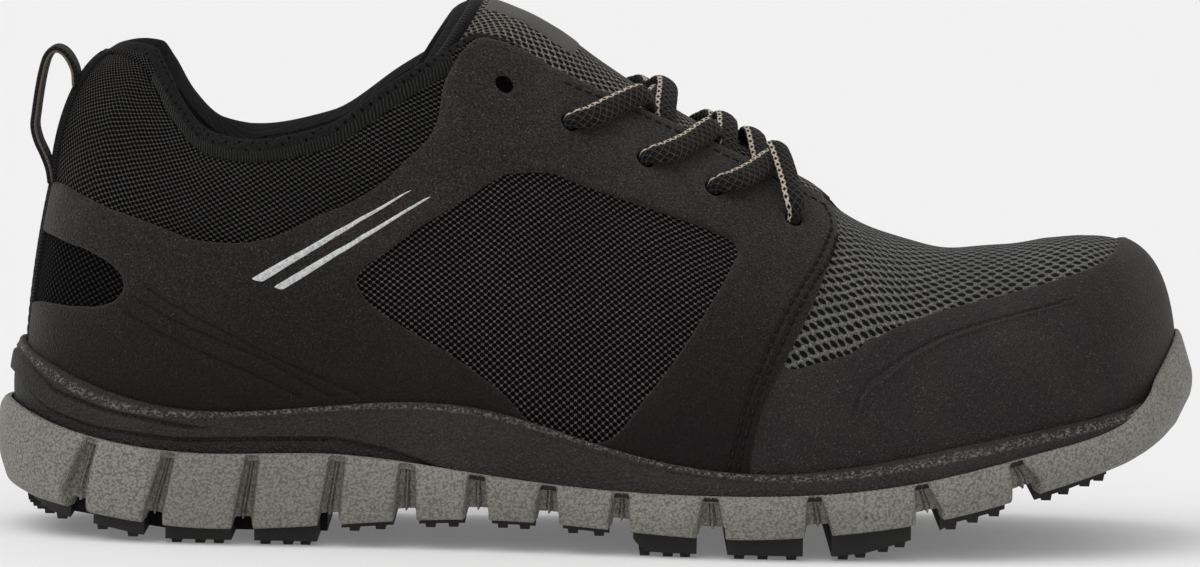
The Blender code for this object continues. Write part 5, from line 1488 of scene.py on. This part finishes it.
def cloth(name, look):
    # Warp knit with staggered open cells, its pattern in mm on the piece's own map: a cell is
    # an oval hole, the yarn is what is left between, rounded and made of fine strands
    material, tree, shader = start(name, look["roughness"], Sheen_Weight=look["sheen"],
                                   Sheen_Roughness=0.4, Specular_IOR_Level=look["specular"],
                                   Sheen_Tint=look["sheenTint"])
    place = add(tree, "UVMap", uv_map="pattern")
    drift = add(tree, "TexNoise", {"Vector": place, "Scale": 0.09, "Detail": 1.0}, "Color")
    drift = add(tree, "VectorMath", {0: drift, 1: (0.5, 0.5, 0.5)}, operation="SUBTRACT")
    drift = add(tree, "VectorMath", {0: drift, "Scale": look["drift"]}, operation="SCALE")
    moved = add(tree, "VectorMath", {0: place, 1: drift}, operation="ADD")
    turned = add(tree, "Mapping", {"Vector": moved, "Rotation": (0, 0, look["lean"])})
    far = ovals(tree, turned, look["pitch"], look["hole"])
    thread = add(tree, "TexNoise", {"Vector": place, "Scale": look["strand"], "Detail": 3.0,
                                    "Roughness": 0.7}, "Fac")
    broad = add(tree, "TexNoise", {"Vector": place, "Scale": 0.035, "Detail": 2.0}, "Fac")
    tint = add(tree, "ValToRGB", {"Fac": thread}, "Color",
               [(0.32, look["dark"]), (0.5, look["yarn"]), (0.7, look["light"])])
    tint = painted(tree, tint, broad, (0.35, 0.7), look["dark"], (0.0, 0.3))
    colour = painted(tree, look["gap"], far, (1 - look["soft"], 1 + look["soft"]), tint)
    crown = add(tree, "MapRange", {0: far, 1: 0.8, 2: 1.6})
    height = add(tree, "Math", {0: thread, 1: 0.3, 2: crown}, operation="MULTIPLY_ADD")
    closeSkin(tree, shader, colour, height, look["bump"], look["depth"])
    return material


plainGrain = {"sheen": 0.0, "sheenTint": "#9A9490", "specular": 0.4, "speck": "#8A8580",
              "speckFrom": 0.70, "speckShare": 0.5, "speckSize": 0.9, "mottle": 0.2,
              "creaseFrom": 0.32, "crease": 0.0, "bump": 1.0, "depth": 0.0002}


def grained(name, given):
    # A moulded or coated skin: fine grain as rounded cells with noise in them, on Object
    # coordinates in metres (grain and specks in mm), with broad wear, pale specks, and
    # painted shade that darkens the hollows between the cells
    look = {**plainGrain, "creaseColour": given["dark"], **given}
    material, tree, shader = start(name, look["roughness"], Sheen_Weight=look["sheen"],
                                   Sheen_Roughness=0.5, Specular_IOR_Level=look["specular"],
                                   Sheen_Tint=look["sheenTint"])
    place = add(tree, "TexCoord", out="Object")
    grain = add(tree, "TexVoronoi", {"Vector": place, "Scale": 1000 / look["grain"],
                                     "Randomness": 1.0, "Smoothness": 0.6}, "Distance",
                feature="SMOOTH_F1")
    fine, broad, speck = (
        add(tree, "TexNoise", {"Vector": place, "Scale": size, "Detail": detail,
                               "Roughness": rough}, "Fac")
        for size, detail, rough in ((1000 / look["grain"] * 0.9, 4.0, 0.65), (34.0, 3.0, 0.6),
                                    (1000 / look["speckSize"], 2.0, 0.5)))
    colour = add(tree, "ValToRGB", {"Fac": broad}, "Color",
                 [(0.3, look["dark"]), (0.5, look["colour"]), (0.72, look["light"])])
    first = look["speckFrom"]
    # the last layer is painted shade: the colour darkens by the crease share in the hollows between the
    # grain's cells
    for pattern, span, tint, share in (
            (speck, (first, first + 0.06), look["speck"], look["speckShare"]),
            (fine, (0.35, 0.65), look["light"], look["mottle"]),
            (grain, (look["creaseFrom"], 0.68), look["creaseColour"], look["crease"])):
        colour = painted(tree, colour, pattern, span, tint, (0.0, share))
    tops = add(tree, "Math", {0: 1.0, 1: grain}, operation="SUBTRACT")
    height = add(tree, "Math", {0: fine, 1: 0.6, 2: tops}, operation="MULTIPLY_ADD")

    def close(colour, height):
        closeSkin(tree, shader, colour, height, look["bump"], look["depth"])
        return material
    return tree, place, colour, height, fine, close


# Polyester warp knit, dyed black: thin grey brown yarn round open diamonds that look black.
# Pitch and hole in mm, along and up the piece; strand is how fine the yarn's fibres are
blackKnit = {
    "pitch": (1.9, 1.4), "soft": 0.12, "strand": 2.4, "roughness": 0.8, "specular": 0.05,
    "sheen": 0.02, "sheenTint": "#9C9A98", "gap": "#010101", "drift": 0.6, "bump": 0.8,
    "depth": 0.0003}
netCloth = cloth("blackDiamondNet", {
    **blackKnit, "pitch": (1.95, 1.55), "hole": (0.68, 0.54), "soft": 0.10, "lean": 0.0,
    "strand": 2.2, "sheenTint": "#A09C9A", "yarn": "#565152", "dark": "#383435",
    "light": "#7E7776", "drift": 0.5, "depth": 0.0004})
# The same knit, finer, over the padded collar and heel
fineNet = cloth("blackFineNet", {
    **blackKnit, "hole": (0.64, 0.48), "lean": 0.16, "yarn": "#484645", "dark": "#2C2A29",
    "light": "#6C6866"})
# The same net in the heel's window, its yarn made darker as painted shade
shadedHeelNet = cloth("paintedShadeHeelNet", {
    **blackKnit, "hole": (0.66, 0.50), "lean": 0.1, "roughness": 0.85, "specular": 0.04,
    "sheen": 0.0, "yarn": "#2B2929", "dark": "#191818", "light": "#423F3E"})
# Sandwich mesh in ash grey yarn over a black backing: big oval cells seen as dark holes
ashMesh = {"strand": 1.8, "roughness": 0.75, "specular": 0.12, "sheen": 0.06, "gap": "#030303",
           "bump": 1.0}
vampCloth = cloth("ashSandwichMesh", {
    **ashMesh, "pitch": (3.5, 3.2), "hole": (1.04, 0.74), "soft": 0.12, "lean": 0.06,
    "sheenTint": "#B4B2B0", "yarn": "#626160", "dark": "#3C3B3B", "light": "#A09E9C",
    "drift": 0.7, "depth": 0.0007})
# The same mesh, paler and closer, on the tongue
tongueCloth = cloth("ashTongueMesh", {
    **ashMesh, "pitch": (2.6, 2.1), "hole": (0.79, 0.56), "soft": 0.10, "lean": 0.1,
    "sheenTint": "#B4AFAA", "yarn": "#7E7771", "dark": "#46413D", "light": "#C2B9B0",
    "drift": 0.6, "depth": 0.0006})
# Brushed polyester lining over foam with rows of tiny pinholes: soft and deep black
brushed = {"soft": 0.3, "lean": 0.0, "roughness": 0.9, "sheenTint": "#77767A"}
liningCloth = cloth("blackPinholeLining", {
    **brushed, "pitch": (4.4, 3.2), "hole": (0.34, 0.34), "strand": 1.6, "specular": 0.08,
    "sheen": 0.1, "gap": "#010101", "yarn": "#1B1B1C", "dark": "#101011", "light": "#2B2B2C",
    "drift": 0.4, "bump": 0.7, "depth": 0.0004})
# Flat polyester knit glued on foam: even, matt and dark grey
insoleCloth = cloth("greyInsoleCloth", {
    **brushed, "pitch": (2.0, 2.0), "hole": (0.42, 0.42), "strand": 2.0, "specular": 0.1,
    "sheen": 0.08, "gap": "#0A0A0B", "yarn": "#28282A", "dark": "#1C1C1E", "light": "#38383A",
    "drift": 0.3, "bump": 0.5, "depth": 0.0003})


def makeRibLining():
    # Rib knit turned over the collar's foam: ridges across the edge every 0.9 mm, dark between
    material, tree, shader = start("blackRibKnit", 0.85, Sheen_Weight=0.08, Specular_IOR_Level=0.1)
    place = add(tree, "UVMap", uv_map="pattern")
    ribs = add(tree, "TexWave", {"Vector": place, "Scale": 0.314 / 0.9, "Distortion": 3.4,
                                 "Detail": 3.0, "Detail Scale": 1.3}, "Fac",
               wave_type="BANDS", bands_direction="X")
    fuzz = add(tree, "TexNoise", {"Vector": place, "Scale": 1.5, "Detail": 4.0,
                                  "Roughness": 0.7}, "Fac")
    both = add(tree, "Math", {0: fuzz, 1: 0.8, 2: ribs}, operation="MULTIPLY_ADD")
    tone = add(tree, "MapRange", {0: both, 1: 0.3, 2: 1.5})
    colour = add(tree, "ValToRGB", {"Fac": tone}, "Color",
                 [(0.0, "#080808"), (0.5, "#161615"), (1.0, "#302F2D")])
    closeSkin(tree, shader, colour, both, 0.7, 0.0003)
    return material


def makeMicrofibre(name, look):
    # Polyurethane coated microfibre, nubuck finish: matt, warm black, with a dusting of specks; a given
    # low tone is painted shade, darkening it toward the sole
    tree, place, colour, height, _, close = grained(name, look)
    # painted shade: from 85 mm down the colour turns toward the low tone, 85 per cent of it at 30 mm
    # and below
    if "low" in look:
        high = add(tree, "SeparateXYZ", {"Vector": place}, "Z")
        colour = painted(tree, colour, high, (0.030, 0.085), look["low"], (0.85, 0.0))
    return close(colour, height)


def makeToeFilm(name, look):
    # Moulded thermoplastic film over cloth: a little smoother, with a faint honeycomb print
    tree, _, colour, height, _, close = grained(name, look)
    flat = add(tree, "UVMap", uv_map="pattern")
    comb = add(tree, "Mapping", {"Vector": flat, "Rotation": (0, 0, np.pi / 4),
                                 "Scale": (2**0.5 / 6.6, 2**0.5 / 4.2, 1)})
    cells = add(tree, "TexVoronoi", {"Vector": comb, "Scale": 1.0, "Randomness": 0.0}, "Distance",
                voronoi_dimensions="2D", feature="DISTANCE_TO_EDGE")
    lines = add(tree, "MapRange", {0: cells, 1: 0.0, 2: 0.09, 3: 1.0, 4: 0.0})
    height = add(tree, "Math", {0: lines, 1: 0.22, 2: height}, operation="MULTIPLY_ADD")
    return close(colour, height)


def makeBandRubber(name, look):
    # Moulded rubber with a spark eroded grain: a painted glint of pale specks along the thin top rim
    tree, place, colour, height, _, close = grained(name, look)
    rim = add(tree, "Attribute", out="Fac", attribute_name="rim")
    rough = add(tree, "TexNoise", {"Vector": place, "Scale": 1300.0, "Detail": 3.0,
                                   "Roughness": 0.7}, "Fac")
    glint = add(tree, "MapRange", {0: rough, 1: 0.46, 2: 0.66})
    edge = add(tree, "MapRange", {0: rim, 1: 0.70, 2: 0.92, 3: 0.0, 4: 0.8})
    glint = add(tree, "Math", {0: glint, 1: edge}, operation="MULTIPLY")
    # painted highlight: the pale glint colour laid into the colour along the rim
    colour = add(tree, "Mix", {0: glint, 6: colour, 7: look["glint"]}, 2, data_type="RGBA")
    height = add(tree, "Math", {0: glint, 1: 1.2, 2: height}, operation="MULTIPLY_ADD")
    return close(colour, height)


def makeGreySole(name, look):
    # Injection moulded foam rubber, grey, pebbled faces: darker in noisy blotches toward the ground,
    # with dark rubber crumbs about 2 mm wide
    tree, place, colour, height, fine, close = grained(name, look)
    high = add(tree, "SeparateXYZ", {"Vector": place}, "Z")
    blotchNoise = add(tree, "TexNoise", {"Vector": place, "Scale": 160.0, "Detail": 5.0,
                                   "Roughness": 0.7}, "Fac")
    low = add(tree, "MapRange", {0: high, 1: 0.0015, 2: 0.0085, 3: 1.0, 4: 0.0})
    grime = add(tree, "Math", {0: blotchNoise, 1: low}, operation="MULTIPLY")
    colour = painted(tree, colour, grime, (0.25, 0.62), look["grime"], (0.0, 0.6))
    pips = add(tree, "TexVoronoi", {"Vector": place, "Scale": 62.0}, "Distance")
    ragged = add(tree, "Math", {0: fine, 1: 0.05, 2: pips}, operation="MULTIPLY_ADD")
    colour = painted(tree, colour, ragged, (0.052, 0.075), look["crumb"], (0.75, 0.0))
    return close(colour, height)


ribLining = makeRibLining()
# its low tone is painted shade on the lower sides, toward the sole
microfibre = makeMicrofibre("nubuckMicrofibre", {
    "grain": 0.52, "roughness": 0.80, "sheen": 0.34, "sheenTint": "#A39E9B", "specular": 0.12,
    "dark": "#171515", "colour": "#1C1A19", "light": "#373331", "speck": "#7A7672",
    "speckFrom": 0.60, "speckSize": 0.42, "mottle": 0.9, "crease": 0.6,
    "creaseColour": "#0E0D0C", "low": "#0C0A0A"})
toeFilm = makeToeFilm("mouldedToeFilm", {
    "grain": 0.52, "roughness": 0.64, "sheen": 0.16, "sheenTint": "#A39D9A", "specular": 0.2,
    "dark": "#141212", "colour": "#171515", "light": "#2C2827", "speck": "#6A6562",
    "speckFrom": 0.60, "speckShare": 0.45, "speckSize": 0.42, "mottle": 0.7, "crease": 0.55,
    "creaseColour": "#0D0B0B"})
# its glint colour is a painted highlight along the top rim
bandRubber = makeBandRubber("grainedBandRubber", {
    "grain": 0.62, "roughness": 0.6, "specular": 0.25, "dark": "#151313", "colour": "#1A1817",
    "light": "#2F2C2A", "speck": "#625E5B", "speckFrom": 0.61, "speckShare": 0.45,
    "speckSize": 0.5, "mottle": 0.7, "depth": 0.0004, "crease": 0.5,
    "creaseColour": "#0E0D0D", "glint": "#99948F"})
greySole = makeGreySole("pebbledGreySole", {
    "grain": 0.66, "roughness": 0.55, "specular": 0.4, "dark": "#7D7B74", "colour": "#83817A",
    "light": "#8F8D86", "speck": "#A09E97", "speckFrom": 0.62, "speckShare": 0.25,
    "speckSize": 0.4, "mottle": 0.35, "depth": 0.0007, "crease": 0.8,
    "creaseFrom": 0.42, "creaseColour": "#605E57", "grime": "#3B3936", "crumb": "#262522"})
# Solid carbon black rubber, moulded: near black and dull
treadRubber = makeMicrofibre("blackTreadRubber", {
    "grain": 0.8, "roughness": 0.7, "specular": 0.35, "dark": "#141414", "colour": "#191918",
    "light": "#242322", "speck": "#4A4846", "speckFrom": 0.72, "speckShare": 0.3, "mottle": 0.3,
    "bump": 0.4})
# Pressed synthetic sheet, a plain mid grey with a faint grain
patchSheet = makeMicrofibre("plainPatchSheet", {
    "grain": 0.6, "roughness": 0.6, "specular": 0.25, "dark": "#3D3B3A", "colour": "#494745",
    "light": "#595654", "speck": "#72706D", "speckFrom": 0.72, "speckShare": 0.3, "mottle": 0.4,
    "bump": 0.4, "depth": 0.0001})


def makeWebbing(name, dark, colour, edge, edgeAt):
    # Woven polyester tape: ribs across it every 1.1 mm, pale selvedges from edgeAt mm outward
    material, tree, shader = start(name, 0.78, Sheen_Weight=0.05, Specular_IOR_Level=0.12)
    place = add(tree, "UVMap", uv_map="pattern")
    ribs = add(tree, "TexWave", {"Vector": place, "Scale": 0.314 / 1.1, "Distortion": 0.6,
                                 "Detail": 2.0, "Detail Scale": 2.0}, "Fac",
               wave_type="BANDS", bands_direction="X")
    cross = add(tree, "TexWave", {"Vector": place, "Scale": 0.42, "Distortion": 0.4}, "Fac",
                wave_type="BANDS", bands_direction="Y")
    weave = add(tree, "Math", {0: ribs, 1: cross}, operation="MULTIPLY")
    tint = add(tree, "ValToRGB", {"Fac": weave}, "Color", [(0.0, dark), (1.0, colour)])
    aside = add(tree, "SeparateXYZ", {"Vector": place}, "Y")
    aside = add(tree, "Math", {0: aside}, operation="ABSOLUTE")
    colour = painted(tree, tint, aside, (edgeAt, edgeAt + 0.25), edge)
    closeSkin(tree, shader, colour, weave, 0.8, 0.0003)
    return material


blackWebbing = makeWebbing("blackTape", "#080808", "#232221", "#232221", 900.0)   # no selvedge
loopWebbing = makeWebbing("edgedTape", "#0B0B0B", "#2E2B2A", "#6E6557", 7.35)


def makeLaceBraid():
    # Flat braided polyester over a core: two crossing sets of dark strands, and a pale thread
    # that shows as a row of beads along the lace's upper edge.
    # Strand counts: along / pitch plus or minus strands * the share of the way round
    material, tree, shader = start("braidedLace", 0.75, Sheen_Weight=0.05, Specular_IOR_Level=0.15)
    place = add(tree, "UVMap", uv_map="pattern")
    along, turn = (add(tree, "SeparateXYZ", {"Vector": place}, axis) for axis in ("X", "Y"))
    count = add(tree, "Math", {0: along, 1: 2 / lace["pitch"]}, operation="MULTIPLY")
    lead = add(tree, "Math", {0: turn, 1: float(lace["strands"])}, operation="MULTIPLY")
    sets = []
    for way in ("ADD", "SUBTRACT"):
        spot = add(tree, "Math", {0: count, 1: lead}, operation=way)
        sets.append(add(tree, "Math", {0: spot, 1: 1.0}, operation="PINGPONG"))
    crest = add(tree, "Math", {0: sets[0], 1: sets[1]}, operation="MAXIMUM")
    fine = add(tree, "TexNoise", {"Vector": place, "Scale": 3.0, "Detail": 3.0}, "Fac")
    shade = add(tree, "Math", {0: fine, 1: 0.5, 2: crest}, operation="MULTIPLY_ADD")
    shade = add(tree, "MapRange", {0: shade, 1: 0.6, 2: 1.4})
    dark = add(tree, "ValToRGB", {"Fac": shade}, "Color",
               [(0.0, "#010101"), (0.6, "#0D0B0A"), (1.0, "#584F47")])
    aside = add(tree, "Math", {0: turn, 1: 0.43}, operation="SUBTRACT")
    aside = add(tree, "Math", {0: aside}, operation="ABSOLUTE")
    edge = add(tree, "MapRange", {0: aside, 1: 0.040, 2: 0.060, 3: 1.0, 4: 0.0})
    bead = add(tree, "MapRange", {0: crest, 1: 0.5, 2: 0.75})
    bead = add(tree, "Math", {0: bead, 1: edge}, operation="MULTIPLY")
    colour = add(tree, "Mix", {0: bead, 6: dark, 7: "#BDB1A1"}, 2, data_type="RGBA")
    closeSkin(tree, shader, colour, crest, 0.7, 0.0005)
    return material


def makePlain(name, dark, colour, roughness, size, detail, span, bump, **values):
    # A skin that is one colour apart from the fine grain of what it is made of
    material, tree, shader = start(name, roughness, **values)
    place = add(tree, "TexCoord", out="Object")
    grain = add(tree, "TexNoise", {"Vector": place, "Scale": size, "Detail": detail}, "Fac")
    tint = add(tree, "ValToRGB", {"Fac": grain}, "Color", [(span[0], dark), (span[1], colour)])
    closeSkin(tree, shader, tint, grain, *bump)
    return material


laceBraid = makeLaceBraid()
# Retroreflective film of tiny glass beads on aluminium: satin grey, brighter at a slant
silverFilm = makePlain("beadedSilverFilm", "#A6A8A9", "#CDCFCF", 0.42, 1500.0, 2.0, (0.35, 0.6),
                       (0.2, 0.0001), Metallic=0.2, Specular_IOR_Level=0.5)
# Bonded nylon thread, dark and twisted, and the painted shade inside an eyelet, near black and almost
# matt
blackThread = makePlain("bondedThread", "#121111", "#262423", 0.6, 2500.0, 3.0, (0.3, 0.7),
                        (0.4, 0.0002), Specular_IOR_Level=0.05)
paintedEyeletShade = makePlain("eyeletShadow", "#010101", "#050404", 0.9, 900.0, 3.0, (0.3, 0.7),
                     (0.4, 0.0002), Specular_IOR_Level=0.05)
print("materials ready")


makeUpperMesh()
makeLining()
makeOverlays()
makeBars()
makeStitches()
makeEyeletHoles()
makeMidsole()
makeSole()
makeInsole()
tongueStations, tongueTop, tongueNormal = makeTongue()
makeLaces(tongueStations, tongueTop, tongueNormal)
makePullLoop()

studio = {"floor": "#DCDCDC", "glow": 0.15, "world": 0.60,
          "suns": [  # where the light comes from, strength, width in degrees
              ((-0.50, -0.30, 1.0), 1.22, 60.0), ((0.35, 0.1, 1.0), 0.15, 60.0),
              ((0.0, -1.0, 0.60), 0.30, 60.0)]}


def makeStudio():
    # A wide pale floor, a pale even surround and three soft lights
    data = bpy.data.meshes.new("studioFloor")
    data.from_pydata([(-14, -14, 0), (14, -14, 0), (14, 14, 0), (-14, 14, 0)], [], [(0, 1, 2, 3)])
    floor = bpy.data.objects.new("studioFloor", data)
    bpy.context.scene.collection.objects.link(floor)
    material, _, _ = start("paleFloor", 0.9, Specular_IOR_Level=0.1, Base_Color=studio["floor"],
                           Emission_Color="#FFFFFF", Emission_Strength=studio["glow"])
    data.materials.append(material)
    world = bpy.data.worlds.new("paleWorld")
    world.use_nodes = True
    sky = world.node_tree.nodes["Background"]
    sky.inputs["Color"].default_value = linear("#FFFFFF")
    sky.inputs["Strength"].default_value = studio["world"]
    bpy.context.scene.world = world
    for number, (place, strength, wide) in enumerate(studio["suns"]):
        lamp = bpy.data.lights.new("softLight%d" % (number + 1), "SUN")
        lamp.energy, lamp.angle = strength, np.radians(wide)
        item = bpy.data.objects.new(lamp.name, lamp)
        item.location = Vector(place) * 2
        item.rotation_euler = (-Vector(place)).to_track_quat("-Z", "Y").to_euler()
        bpy.context.scene.collection.objects.link(item)
    bpy.context.scene.view_settings.view_transform = "Standard"
    print("studio ready")


view = {"aim": (0.0, -0.001, 0.0622), "distance": 1.8, "elevation": 4.8, "roll": 1.0, "lens": 218.0}


def makeCamera():
    # The camera stands on the outer side, a little above, rolled so that the toe drops
    tilt, roll = np.radians(view["elevation"]), np.radians(view["roll"])
    back = np.array([0, -np.cos(tilt), np.sin(tilt)])
    right = np.array([1.0, 0, 0])
    up = np.cross(back, right)
    right, up = right * np.cos(roll) + up * np.sin(roll), up * np.cos(roll) - right * np.sin(roll)
    place = np.array(view["aim"]) + view["distance"] * back
    data = bpy.data.cameras.new("photoCamera")
    data.lens, data.sensor_width, data.clip_end = view["lens"], 36.0, 60.0
    camera = bpy.data.objects.new("photoCamera", data)
    matrix = np.eye(4)
    matrix[:3, 0], matrix[:3, 1], matrix[:3, 2], matrix[:3, 3] = right, up, back, place
    camera.matrix_world = Matrix([list(row) for row in matrix])
    bpy.context.scene.collection.objects.link(camera)
    bpy.context.scene.camera = camera
    print("camera ready")


makeStudio()
makeCamera()
